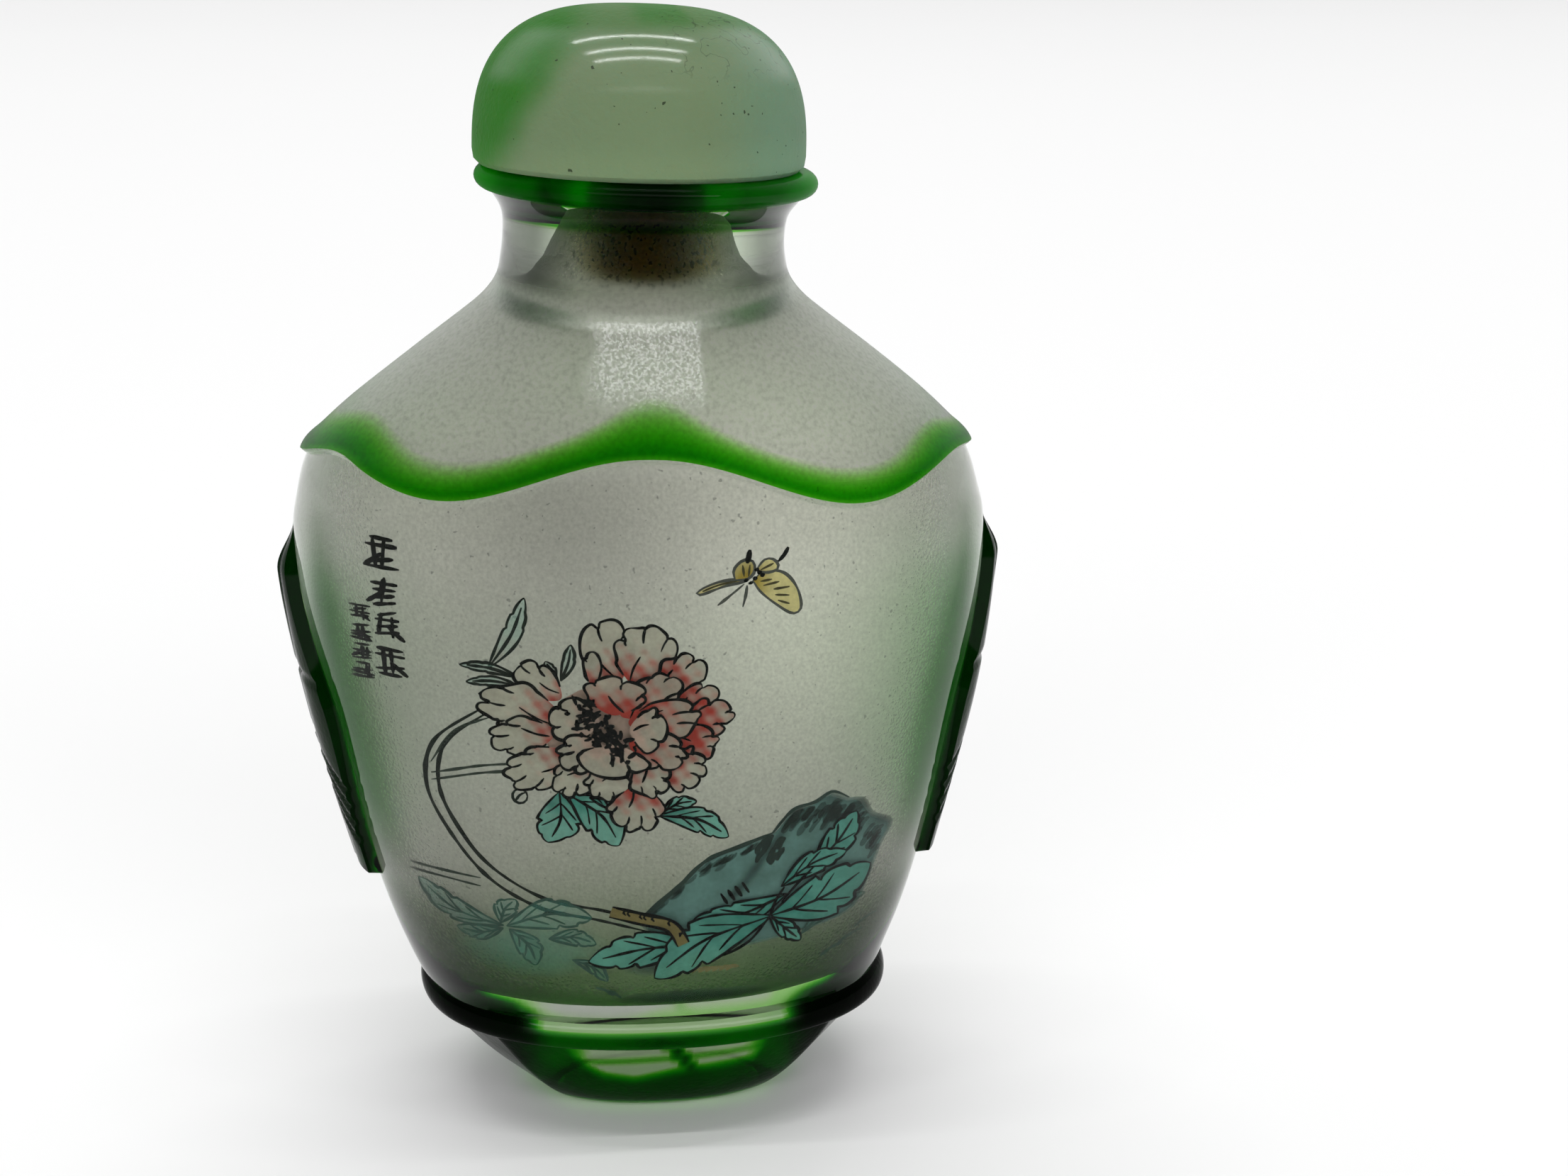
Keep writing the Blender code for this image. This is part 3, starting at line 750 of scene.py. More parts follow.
class Painter:
    """Lays the washes and ink lines of one motif, each layer a little deeper in the glass."""

    def __init__(self, name, first_layer=0):
        self.name = name
        self.layer = first_layer
        self.hand = random.Random(f"{PAINT_SEED} {name}")
        self.sheets = []

    def sheet(self, x, z, paint):
        """A layer of paint from rows of places. paint is RGBA, one for all or one for each."""
        depth = PAINT_DEPTH + self.layer * PAINT_STEP
        obj, row, column = draped_grid(self.name, wall_points(x, z, depth))
        paint = np.broadcast_to(paint, (*x.shape, 4))
        color_attribute(obj.data, "paint", paint[row, column])
        self.sheets.append(obj)

    def ribbon(self, left, right, paint):
        """A layer of paint between two edges."""
        self.sheet(*np.stack([left, right], axis=-1).transpose(1, 0, 2), paint)

    def line(self, places, width, ink, strength=1.0, spacing=0.3):
        """A brush line through places, pressed here and there, with thin ends."""
        path = curve_through(places, spacing)
        along = np.linspace(0, 1, len(path))
        knots = int(len(path) * spacing / 0.7) + 2
        press = np.interp(along, np.linspace(0, 1, knots),
                          [self.hand.uniform(0.62, 1.25) for _ in range(knots)])
        ends = 0.45 + 0.55 * np.minimum(1.0, np.minimum(along, 1 - along) * 6)
        self.ribbon(*sides(path, (0.5 * width * press * ends)[:, None]), (*ink, strength))

    def lines(self, runs, width, ink, strength=1.0):
        for places in runs:
            self.line(places, width, ink, strength)

    def wash(self, outline, color_at, rings=6):
        """A wash filling an outline of places. color_at gives RGBA from ring share, x and z."""
        outline = np.vstack([outline, outline[:1]])
        centre = outline[:-1].mean(axis=0)
        share = np.linspace(0, 1, rings + 1)[:, None]
        x = blend(centre[0], outline[:, 0][None, :], share)
        z = blend(centre[1], outline[:, 1][None, :], share)
        self.sheet(x, z, color_at(np.broadcast_to(share, x.shape), x, z))

    def petal(self, foot, tip, width, lobes, flush, colors, ink, line_width):
        """A petal with a notched outer edge, which has this many lobes.

        The first colour stains its foot and gives way to the second at the flush's share of the
        petal's reach.
        """
        span = Span(foot, tip)
        cuts = np.cumsum([0.0] + [self.hand.uniform(0.5, 1.5) for _ in range(lobes)])
        cuts = PETAL_OPENING * (2 * cuts / cuts[-1] - 1)
        depths = [0.0] + [self.hand.uniform(0.10, 0.36) for _ in range(lobes - 1)] + [0.0]
        turn, depth = [], []
        for i in range(lobes):
            share = np.linspace(0, 1, 11)[:-1]
            bulge = 1 - np.sin(pi * share) ** 0.4
            lean = self.hand.uniform(-0.10, 0.10)
            turn.append(blend(cuts[i], cuts[i + 1], share))
            depth.append(bulge * np.where(share < 0.5, depths[i], depths[i + 1])
                         + lean * np.sin(2 * pi * share) * (share > 0) + self.hand.uniform(0, 0.05))
        edge = np.concatenate(turn + [np.linspace(PETAL_OPENING, 2 * pi - PETAL_OPENING, 14)])
        cut = 1 - np.concatenate(depth + [np.zeros(14)])
        along = PETAL_HEART + PETAL_REACH * np.cos(edge) * cut
        across = 0.5 * width * np.sin(edge) * cut * blend(0.5, 1.0, smoothstep(along / 0.6))
        places = span.places(along, across)
        inner, outer = (np.array(color) for color in colors)

        def shade(share, x, z):
            blot = 0.10 * np.sin(x * 5.1 + z * 3.7) + 0.06 * np.sin(x * 2.3 - z * 6.1)
            tint = smoothstep((span.along(x, z) - flush + 0.3 + blot) / 0.55)
            return rgba(blend(inner, outer, tint[..., None]), blend(0.95, 0.62, tint))

        self.wash(places, shade, rings=10)
        self.layer += 1
        drawn = np.roll(places, 3, axis=0)[:10 * lobes + 6]
        half = self.hand.randint(4, 7) * len(drawn) // 10
        self.line(drawn[:half + 1], line_width, ink, spacing=0.15)
        self.line(drawn[half - 1:], line_width, ink, spacing=0.15)
        for heading, notch in zip(cuts[1:lobes], depths[1:lobes]):
            start = span.places(PETAL_HEART + PETAL_REACH * cos(heading) * (1 - notch),
                                0.5 * width * sin(heading) * (1 - notch))
            end = blend(start, span.foot, self.hand.uniform(0.08, 0.25))
            self.line([start, (start + end) / 2 + span.aside * 0.06, end], line_width * 0.9, ink)
        if width > 2.4:
            start = span.places(0.2, self.hand.uniform(-0.2, 0.2) * width)
            end = span.places(0.55, self.hand.uniform(-0.25, 0.25) * width)
            self.line([start, (start + end) / 2 + span.aside * 0.12, end], line_width * 0.75, ink,
                      0.9)
        self.layer += 1

    def leaf(self, foot, tip, width, body, shade_color, ink, line_width, veins=2, strength=0.85,
             bend=0.12):
        """A pointed leaf with a notched end, a midrib and side veins."""
        span = Span(foot, tip)

        def place(along, across):
            return span.places(along, bend * span.reach * np.sin(pi * along) + across)

        along = np.linspace(0, 1, 49)

        def side(*teeth):
            half = 0.5 * width * np.sin(pi * along ** 1.25) ** 0.75
            for tooth in teeth:
                past = np.maximum(0.0, along - tooth)
                half = half * (1 - 0.28 * np.exp(-past / 0.06) * (past > 0))
            return half

        left = place(along, side(self.hand.uniform(0.52, 0.62), self.hand.uniform(0.74, 0.84)))
        right = place(along, -side(self.hand.uniform(0.56, 0.66), self.hand.uniform(0.76, 0.86)))
        places = np.vstack([left, right[::-1][1:-1]])
        body, shade_color = np.array(body), np.array(shade_color)

        def shade(share, x, z):
            blot = 0.12 * np.sin(x * 3.1 + z * 4.3)
            tint = smoothstep((span.along(x, z) - 0.05 + blot) / 0.6)
            return rgba(blend(shade_color, body, tint[..., None]), strength * (1 - 0.3 * tint))

        self.wash(places, shade, rings=8)
        self.layer += 1
        for edge in (left, right):
            self.line(edge, line_width, ink, spacing=0.2)
        self.line(place(np.array([0.02, 0.5, 0.88]), np.zeros(3)), line_width, ink)
        for i in range(veins):
            for hand_side in (-1, 1):
                start = 0.18 + 0.42 * i / veins + self.hand.uniform(0.0, 0.06)
                run = np.array([start, start + 0.12, start + 0.27])
                spread = hand_side * 0.5 * width * np.array([0.0, 0.3, 0.7])
                self.line(place(run, spread), line_width * 0.7, ink, 0.85)
        self.layer += 1

    def finish(self, material):
        """Join the layers, give them thickness and close them."""
        deselect_all()
        for sheet in self.sheets:
            sheet.select_set(True)
        bpy.context.view_layer.objects.active = self.sheets[0]
        if len(self.sheets) > 1:
            bpy.ops.object.join()
        obj = bpy.context.view_layer.objects.active
        obj.name = obj.data.name = self.name
        close_up(obj)
        thick = obj.modifiers.new("paint", "SOLIDIFY")
        thick.thickness = PAINT_THICKNESS * MM
        bpy.ops.object.modifier_apply(modifier=thick.name)
        return finish_piece(obj, [material])


def paint_peony(settings):
    """A full-blown peony of notched petals round a dark heart."""
    painter = Painter("painted_peony", first_layer=2)
    cream, red, ink = settings.cream, settings.red, settings.ink
    blush, soft = mixed(cream, red, 0.35), mixed(cream, red, 0.12)
    painter.wash(round_outline((-2.9, 32.2), 4.6, 3.6, 24),
                 lambda share, x, z: rgba(blush, np.full(x.shape, 0.85)))
    painter.layer += 1
    # Petals: foot, tip, width, lobes and flush
    outer = [((-2.6, 35.0), (-3.9, 40.6), 3.6, 3, 0.40),
             ((-1.4, 34.8), (-0.2, 39.9), 4.6, 5, 0.45),
             ((-4.2, 35.2), (-4.4, 38.2), 1.2, 2, 0.45), ((-0.4, 34.6), (3.2, 37.2), 3.4, 4, 0.68),
             ((0.2, 32.8), (4.2, 35.2), 2.6, 3, 0.78), ((0.4, 32.4), (5.3, 33.5), 3.0, 4, 0.82),
             ((0.0, 31.4), (4.2, 31.2), 3.0, 4, 0.88), ((-0.4, 30.4), (3.3, 28.7), 3.4, 5, 0.62),
             ((-6.0, 34.4), (-9.3, 37.1), 2.6, 4, 0.30),
             ((-5.8, 33.4), (-11.9, 34.5), 3.6, 4, 0.36),
             ((-6.2, 32.4), (-11.2, 31.6), 3.0, 4, 0.34),
             ((-5.6, 31.2), (-9.9, 28.4), 3.4, 5, 0.34),
             ((-4.8, 30.8), (-6.2, 27.4), 3.0, 4, 0.36),
             ((-3.2, 30.4), (-3.5, 27.2), 3.0, 4, 0.34),
             ((-1.1, 28.8), (-1.6, 24.8), 4.0, 5, 0.50), ((-1.4, 30.4), (0.2, 27.5), 3.0, 4, 0.42)]
    middle = [((-3.0, 33.2), (1.6, 36.0), 3.0, 4, 0.60), ((-2.6, 33.0), (2.9, 33.2), 3.2, 4, 0.66),
              ((-3.0, 33.2), (-2.6, 36.4), 4.4, 4, 0.55), ((-2.4, 31.8), (1.9, 30.2), 3.0, 4, 0.60)]
    cup = [((-3.4, 33.0), (-7.2, 33.4), 3.4, 3, 0.55), ((-3.2, 31.6), (-6.6, 30.2), 3.0, 4, 0.55),
           ((-2.2, 32.6), (0.7, 32.3), 3.4, 3, 0.55), ((-2.8, 31.8), (-3.2, 29.0), 5.2, 2, 0.55)]
    for petals, colors, line_width in ((outer, (red, cream), 0.22), (middle, (red, soft), 0.23),
                                       (cup, (blush, cream), 0.25)):
        for petal in petals:
            painter.petal(*petal, colors, ink, line_width)
    hand = painter.hand
    for _ in range(90):
        down = hand.uniform(0.0, 1.0)
        x = -5.0 + 2.6 * down + hand.gauss(0, 0.3 + 0.45 * sin(pi * down))
        z = 34.7 - 4.3 * down + hand.gauss(0, 0.28)
        turn = hand.uniform(0, pi)
        reach = hand.uniform(0.15, 0.42)
        painter.line([(x - reach * cos(turn), z - reach * sin(turn)), (x + 0.04, z),
                      (x + reach * cos(turn), z + reach * sin(turn))], 0.32, ink)
    return painter


def paint_stem(settings):
    """The long bowed stem, its side twigs and the slim young leaves at its top."""
    painter = Painter("painted_stem")
    ink, pale = settings.ink, settings.pale_ink
    stem = [(-0.45, 16.7), (-4.2, 17.8), (-7.9, 18.6), (-11.3, 20.7), (-13.8, 24.0),
            (-15.3, 27.6), (-14.7, 31.2), (-11.2, 34.1)]
    low_ink = mixed(ink, pale, 0.3)
    painter.line(stem, 0.30, low_ink)
    painter.line([(x + 0.35, z + 0.75 if x > -12 else z + 0.2) for x, z in stem[:4]]
                 + [(x + 0.80, z) for x, z in stem[4:]], 0.27, low_ink)
    painter.line([(-15.0, 29.4), (-13.4, 32.0), (-11.0, 33.2)], 0.2, pale)
    for lift in (0.0, 0.55):
        painter.line([(-15.0, 28.0 + lift), (-11.9, 28.9 + lift), (-9.0, 29.3 + lift)], 0.22, pale)
        painter.line([(-16.3, 20.4 + lift), (-14.2, 20.3 + lift), (-11.9, 20.0 + lift * 1.2)],
                     0.22, pale)
    painter.layer += 1
    grey = scaled(settings.cream, 0.75)
    # Leaves, here and below: foot, tip and width
    for leaf in (((-11.2, 36.7), (-8.7, 41.8), 1.25), ((-9.2, 36.2), (-13.0, 36.9), 0.7),
                 ((-9.2, 35.6), (-12.6, 35.7), 0.7), ((-6.4, 36.0), (-5.7, 38.6), 0.8),
                 ((-6.8, 36.0), (-7.4, 37.4), 0.7), ((-9.6, 34.6), (-11.8, 34.9), 0.6)):
        painter.leaf(*leaf, settings.teal, grey, low_ink, 0.21, veins=0, strength=0.25, bend=-0.06)
    bud = round_outline((-9.2, 27.4), 0.5, 0.55, 12)
    painter.line(np.vstack([bud, bud[:1]]), 0.2, low_ink)
    painter.line([(-9.5, 27.0), (-9.2, 27.5), (-8.8, 27.7)], 0.2, low_ink)
    return painter


def paint_leaves(settings):
    """Teal leaves under the flower and in front of the rock."""
    painter = Painter("painted_leaves", first_layer=8)
    colors = (settings.teal, settings.deep_teal, settings.ink)
    for leaf in (((-6.6, 27.8), (-7.4, 23.9), 3.0), ((-6.0, 27.6), (-2.6, 23.7), 3.0),
                 ((-4.6, 27.4), (-2.6, 26.6), 1.1), ((0.2, 26.0), (2.7, 26.9), 1.1),
                 ((0.1, 25.9), (4.9, 24.0), 1.9)):
        painter.leaf(*leaf, *colors, 0.2)
    for *leaf, bend in (
            ((10.8, 20.8), (13.9, 24.6), 2.3, -0.06), ((8.6, 19.6), (13.2, 21.6), 1.9, 0.10),
            ((9.0, 19.0), (2.5, 17.6), 2.1, 0.08), ((7.8, 17.4), (10.0, 15.0), 1.3, 0.0),
            ((3.2, 15.7), (-4.7, 14.5), 2.8, -0.05), ((7.8, 17.4), (14.9, 20.0), 3.8, -0.07),
            ((8.0, 17.4), (-0.2, 13.1), 3.6, -0.10)):
        painter.leaf(*leaf, *colors, 0.22, strength=0.8, bend=bend)
    painter.lines([[(7.8, 17.4), (8.2, 18.6), (8.8, 19.6)],
                   [(8.6, 18.4), (9.6, 19.6), (10.9, 20.9)],
                   [(7.8, 17.4), (6.4, 15.6), (4.6, 14.6)]], 0.22, settings.ink)
    return painter


def paint_undergrowth(settings):
    """Faint leaves low on the left, blurred washes and ochre grass strokes."""
    painter = Painter("painted_undergrowth")
    faint = mixed(settings.teal, settings.deep_teal, 0.45)
    line = mixed(settings.pale_ink, settings.teal, 0.12)
    for centre, width, height, color, strength in (
            ((-0.4, 14.6), 2.6, 1.6, (0.06, 0.11, 0.14), 0.5),
            ((2.5, 10.9), 6.0, 0.9, (0.035, 0.09, 0.08), 0.5),
            ((-8.5, 15.4), 5.4, 2.6, faint, 0.2)):
        painter.wash(round_outline(centre, width, height, 40),
                     lambda share, x, z: rgba(color, strength * (1 - share ** 2)), rings=8)
        painter.layer += 1
    for leaf in (((-10.4, 17.0), (-15.8, 19.8), 1.7), ((-10.6, 17.2), (-9.6, 19.2), 1.5),
                 ((-10.2, 17.0), (-4.5, 18.0), 2.4), ((-10.4, 16.8), (-13.4, 16.4), 1.2),
                 ((-10.0, 16.8), (-8.2, 14.0), 1.7), ((-7.4, 16.2), (-4.2, 15.9), 1.3),
                 ((10.0, 15.4), (14.6, 17.6), 1.1), ((-5.8, 14.6), (-3.4, 12.8), 0.9)):
        painter.leaf(*leaf, faint, faint, line, 0.2, strength=0.24)
    for x, z, lean in [(-3.0, 11.6, -1.2), (-2.4, 11.3, -1.0), (11.4, 13.2, 1.6),
                       (12.6, 13.9, 1.8), (13.8, 14.9, 1.6)]:
        painter.line([(x, z), (x + lean * 0.5, z + 0.5), (x + lean, z + 0.7)], 0.24, line)
    for x in np.linspace(2.4, 4.8, 6):
        painter.line([(x, 13.3), (x + 0.4, 13.6), (x + 0.9, 13.5)], 0.3,
                     scaled(settings.ochre, 0.35))
    return painter


def paint_rock(settings):
    """A blue-green rock leaning to the right, dark along its upper right edge."""
    painter = Painter("painted_rock")
    ridge = [(-1.4, 17.6), (1.4, 20.2), (3.4, 22.2), (6.0, 23.2), (8.0, 23.9), (9.4, 25.5),
             (11.0, 25.9), (12.2, 26.5), (13.4, 25.8), (14.6, 25.5), (15.2, 24.2), (16.6, 23.0),
             (15.8, 21.2)]
    foot = [(14.8, 18.4), (13.6, 16.4), (10.0, 15.6), (6.0, 15.0), (3.0, 14.6), (0.6, 15.2)]
    outline = curve_through(ridge + foot + ridge[:1], 0.5)[:-1]
    stone, dark = np.array(settings.stone), np.array(settings.stone_shade)

    def crest(x):
        return np.interp(x, *np.array(ridge[:12]).T)

    def shade(share, x, z):
        edge = crest(x) - z
        shadow = 0.6 * ramp(x, 9.5, 13.5) * ramp(edge, 3.6, 0.2)
        crevice = 0.8 * np.exp(-((x - 5.2 - (z - 19.0) * 0.72) / 0.55) ** 2)
        crevice = crevice * ramp(z, 17.5, 19.5)
        mottle = 0.18 * (np.sin(x * 2.3 + z * 1.7) + np.sin(x * 1.1 - z * 3.1))
        tint = np.clip(np.maximum(shadow, crevice) + mottle * (0.3 + shadow), 0, 1)[..., None]
        soft = smoothstep((1.0 - share) / 0.12 + 0.3) * ramp(z, 13.8, 16.3)
        return rgba(blend(stone, dark, tint), soft)

    painter.wash(outline, shade, rings=26)
    painter.layer += 1
    grey = scaled(settings.stone_shade, 1.2)
    painter.line(ridge[:5], 0.34, grey)
    painter.line(ridge[4:9], 0.26, grey)
    hand = painter.hand
    for _ in range(16):
        x, z = hand.uniform(6.9, 9.0), hand.uniform(22.2, 23.8)
        painter.line([(x, z), (x - 0.3, z - 0.35), (x - 0.5, z - 0.9)], 0.42, grey, 0.8)
    for x in (4.4, 4.9, 5.4, 5.9):
        painter.line([(x, 19.5 + (x - 4.4) * 0.5), (x + 0.5, 18.6 + (x - 4.4) * 0.5)], 0.26,
                     settings.ink)
    for _ in range(60):
        x = hand.uniform(9.4, 16.0)
        z = crest(x) - 0.25 - abs(hand.gauss(0, 0.5 + 0.22 * max(0.0, x - 10.5)))
        painter.line([(x, z), (x - 0.35, z - 0.2), (x - 0.8, z - 0.9)], 0.42, grey, 0.25)
    for _ in range(26):
        x = hand.uniform(0.0, 7.4)
        z = crest(x) - 0.2 - abs(hand.gauss(0, 0.35))
        painter.line([(x, z), (x - 0.3, z - 0.4), (x - 0.8, z - 0.7)], 0.3, grey, 0.22)
    return painter


def paint_root(settings):
    """The knotted tan root between the stem and the leaves."""
    painter = Painter("painted_root", first_layer=44)
    run = curve_through([(-3.2, 18.6), (-1.2, 18.0), (0.9, 17.3), (1.8, 15.8)], 0.3)
    ahead = headings(run)
    left, right = sides(run, 0.42)
    painter.ribbon(left, right, (*settings.tan, 1.0))
    painter.layer += 1
    painter.line(left, 0.26, settings.ink)
    painter.line(right, 0.24, settings.ink)
    for i in sorted(painter.hand.sample(range(1, len(run) - 2), 7)):
        painter.line([left[i], blend(left[i], run[i], 0.8), run[i] + ahead[i] * 0.2], 0.24,
                     settings.ink)
    return painter


def paint_butterfly(settings):
    """A small ochre butterfly with one wing spread and the other seen edge on."""
    painter = Painter("painted_butterfly")
    ochre = np.array(settings.ochre)
    deep = ochre * (0.55, 0.45, 0.15)
    grey = (0.10, 0.105, 0.095)

    def wing(outline, lines):
        outline = curve_through(outline + outline[:1], 0.3)[:-1]
        painter.wash(outline, lambda share, x, z: rgba(
            blend(deep, ochre, smoothstep(np.hypot(x - 6.2, z - 42.6) / 1.5 - 0.3)[..., None]),
            np.ones(x.shape)))
        painter.layer += 1
        painter.line(np.vstack([outline, outline[:2]]), 0.2, grey)
        painter.lines(lines, 0.17, ochre * 0.12, 0.9)
        painter.layer += 1

    wing([(6.0, 42.9), (4.4, 42.75), (3.2, 42.35), (2.7, 41.95), (3.1, 41.9), (4.6, 42.4),
          (6.0, 42.65)], [[(5.6, 42.75), (4.2, 42.5), (3.1, 42.1)]])
    wing([(6.5, 42.7), (7.3, 43.3), (8.6, 43.1), (9.5, 42.0), (9.8, 40.6), (9.2, 40.2),
          (8.0, 41.0), (7.0, 41.9)],
         [[(7.0, 42.6), (7.8, 42.7)], [(7.2, 42.3), (8.3, 42.5)], [(7.9, 42.0), (9.0, 42.1)],
          [(8.0, 41.6), (9.0, 41.5)], [(8.2, 41.2), (9.0, 40.9)]])
    wing([(5.3, 42.8), (5.2, 43.5), (5.8, 44.1), (6.5, 44.0), (6.6, 43.3), (6.1, 42.8)],
         [[(5.8, 43.8), (5.9, 43.0)], [(6.3, 43.8), (6.2, 43.0)]])
    wing([(6.7, 43.4), (7.3, 44.1), (8.0, 44.0), (8.2, 43.4), (7.4, 43.2)],
         [[(7.9, 43.8), (7.0, 43.4)]])
    legs = [[(5.9, 42.5), (4.9, 41.7), (4.1, 41.1)], [(6.1, 42.4), (6.0, 41.7), (5.8, 40.9)]]
    feelers = [[(6.1, 43.9), (6.2, 44.3), (6.3, 44.8)], [(8.2, 43.9), (8.6, 44.3), (8.9, 44.8)]]
    body = [[(x - 0.12, z), (x + 0.2, z + 0.1)] for x, z in (
        (6.0, 42.7), (6.3, 42.5), (6.6, 42.8), (6.9, 43.2), (7.1, 43.0), (6.7, 43.4))]
    painter.lines(legs, 0.2, grey)
    painter.lines(feelers + body, 0.34, settings.ink)
    return painter


def paint_inscription(settings):
    """Two columns of brush marks that only look like writing."""
    painter = Painter("painted_inscription")
    hand = painter.hand

    def mark(x, z, size, stroke, spread=1.0):
        """One cell: a few level, upright and slanting strokes that spell nothing."""
        for level in sorted(hand.sample((0.42, 0.22, 0.02, -0.20, -0.42), 4)):
            reach = hand.uniform(0.26, 0.5) * spread
            lift = hand.uniform(-0.02, 0.1)
            painter.line([(x - reach * size, z + (level - lift) * size),
                          (x, z + level * size), (x + reach * size, z + (level + lift) * size)],
                         stroke, settings.ink)
        for _ in range(hand.choice((2, 3))):
            across = hand.uniform(-0.3, 0.3) * spread
            painter.line([(x + across * size, z + hand.uniform(0.3, 0.48) * size),
                          (x + (across + hand.uniform(-0.12, 0.12)) * size,
                           z - hand.uniform(0.25, 0.48) * size)], stroke, settings.ink)
        slant = hand.choice((-0.5, 0.5))
        painter.line([(x, z), (x + slant * size, z - 0.42 * size)], stroke * 1.1, settings.ink)

    for i in range(4):
        mark(-17.8 + 0.12 * i, 44.1 - 2.55 * i, 2.2, 0.29)
    for i in range(4):
        mark(-19.2 + 0.04 * i, 39.7 - 1.4 * i, 1.2, 0.2, 1.2)
    return painter


MOTIFS = (paint_rock, paint_undergrowth, paint_stem, paint_peony, paint_leaves, paint_root,
          paint_butterfly, paint_inscription)


# ---- Materials

def arithmetic(operation, reflected=False):
    """An operator of Wire, which adds a Math node."""
    def method(self, other):
        first, second = (other, self) if reflected else (self, other)
        return self.tree.add("ShaderNodeMath", {"operation": operation},
                             {0: first, 1: second})[0]
    return method


class Wire:
    """A value in a shader tree. Arithmetic on it adds the Math nodes that work it out."""

    def __init__(self, tree, socket):
        self.tree, self.socket = tree, socket

    __add__, __radd__ = arithmetic("ADD"), arithmetic("ADD", True)
    __sub__, __rsub__ = arithmetic("SUBTRACT"), arithmetic("SUBTRACT", True)
    __mul__, __rmul__ = arithmetic("MULTIPLY"), arithmetic("MULTIPLY", True)
    __pow__, __rpow__ = arithmetic("POWER"), arithmetic("POWER", True)

    def step(self, start, end):
        """Rise smoothly from 0 at start to 1 at end."""
        return self.tree.add("ShaderNodeMapRange", {"interpolation_type": "SMOOTHSTEP"},
                             {"Value": self, "From Min": start, "From Max": end})[0]

    def band(self, start, full, fading, end):
        """Rise smoothly to 1 between start and full, and fall again between fading and end."""
        return self.step(start, full) * (1.0 - self.step(fading, end))


class Shading:
    """A node tree that is wired up by expressions."""

    def __init__(self, tree):
        self.nodes, self.links = tree.nodes, tree.links

    def plug(self, socket, value):
        if isinstance(value, Wire):
            self.links.new(value.socket, socket)
        elif socket.type == "RGBA" and len(value) == 3:
            socket.default_value = (*value, 1.0)
        else:
            socket.default_value = value

    def add(self, kind, settings=None, inputs=None):
        """Add a node, set it up and feed its sockets. Returns its outputs."""
        node = self.nodes.new(kind)
        for setting, value in (settings or {}).items():
            setattr(node, setting, value)
        for socket, value in (inputs or {}).items():
            self.plug(node.inputs[socket], value)
        return [Wire(self, out) for out in node.outputs]

    def place(self):
        """Object coordinates as one vector, in metres."""
        return self.add("ShaderNodeTexCoord")[3]

    def axes(self, vector):
        return self.add("ShaderNodeSeparateXYZ", None, {0: vector})

    def attribute(self, name):
        """Value of a numeric attribute."""
        return self.add("ShaderNodeAttribute", {"attribute_name": name})[2]

    def painted(self, name):
        """Colour and strength of a colour attribute."""
        outputs = self.add("ShaderNodeAttribute", {"attribute_name": name})
        return outputs[0], outputs[3]

    def noise(self, scale, detail=2.0, stretch=(1.0, 1.0, 1.0)):
        """Noise on Object coordinates, with scale in cycles per metre."""
        place = self.add("ShaderNodeMapping", None, {"Vector": self.place(), "Scale": stretch})[0]
        return self.add("ShaderNodeTexNoise", None,
                        {"Vector": place, "Scale": scale, "Detail": detail})[0]

    def mix(self, share, first, second, blend_type="MIX"):
        """A mix of two colours."""
        return self.add("ShaderNodeMix", {"data_type": "RGBA", "blend_type": blend_type},
                        {0: share, 6: first, 7: second})[2]

    def rgb(self, red, green, blue):
        return self.add("ShaderNodeCombineColor", None, {0: red, 1: green, 2: blue})[0]

    def shaded(self, color, shade):
        """A colour made darker or lighter by a value."""
        return self.mix(1.0, color, self.rgb(shade, shade, shade), "MULTIPLY")


class Finish(Shading):
    """A material, and what is fed to its shader."""

    def __init__(self, name, **constants):
        self.material = bpy.data.materials.new(name)
        self.material.use_nodes = True
        super().__init__(self.material.node_tree)
        self.shader = self.nodes["Principled BSDF"]
        self.surface(**constants)

    def bump(self, height, distance):
        self.surface(Normal=self.add("ShaderNodeBump", None,
                                     {"Height": height, "Distance": distance})[0])

    def surface(self, **values):
        for socket, value in values.items():
            self.plug(self.shader.inputs[socket.replace("_", " ")], value)
        return self.material


def tinted_by_overlay(finish, settings, uneven):
    """Colour of the light let through where the overlay is as thick as the attribute says, less the
    painted shade.
    """
    layers = finish.attribute("overlay")
    layers = layers * (1.0 - uneven * 0.5 + finish.noise(260.0, 3.0) * uneven)
    painted_shade = 1.0 - finish.attribute("painted_shade")
    return finish.rgb(*[clear * painted_shade * (through ** 2) ** layers for clear, through
                        in zip(settings.clear_tint, settings.overlay_tint)])


def clear_glass(settings):
    """Polished clear glass. Its shoulder is matte, with a mottled patch that catches the light."""
    finish = Finish("clear_glass", Transmission_Weight=1.0, IOR=1.5, Specular_Tint=(0.0, 0.0, 0.0),
                    Coat_Roughness=0.08, Coat_IOR=2.0)
    x, y, z = finish.axes(finish.place())
    shine = finish.attribute("shine")
    matte = z.band(*MATTE_SHOULDER) * (1.0 - shine.step(0.0, 0.05))
    wobble = (finish.noise(500.0) - 0.5) * 0.0012
    patch = (x + wobble).band(*LIT_PATCH_ACROSS) * z.band(*LIT_PATCH_UP)
    patch = patch * (1.0 - y.step(-0.006, -0.004))
    sparkle = finish.noise(5200.0, 1.0).step(0.38, 0.66)
    finish.bump(finish.noise(900.0) + finish.noise(2600.0, 1.0) * 0.35, 0.000002)
    grain = 1.0 - (finish.noise(3000.0) - 0.5) * matte * 1.2
    color = finish.shaded(tinted_by_overlay(finish, settings, 0.12), grain)
    return finish.surface(Base_Color=color, Roughness=0.03 + matte * 0.45,
                          Coat_Weight=shine + patch * (0.15 + sparkle * 0.6))


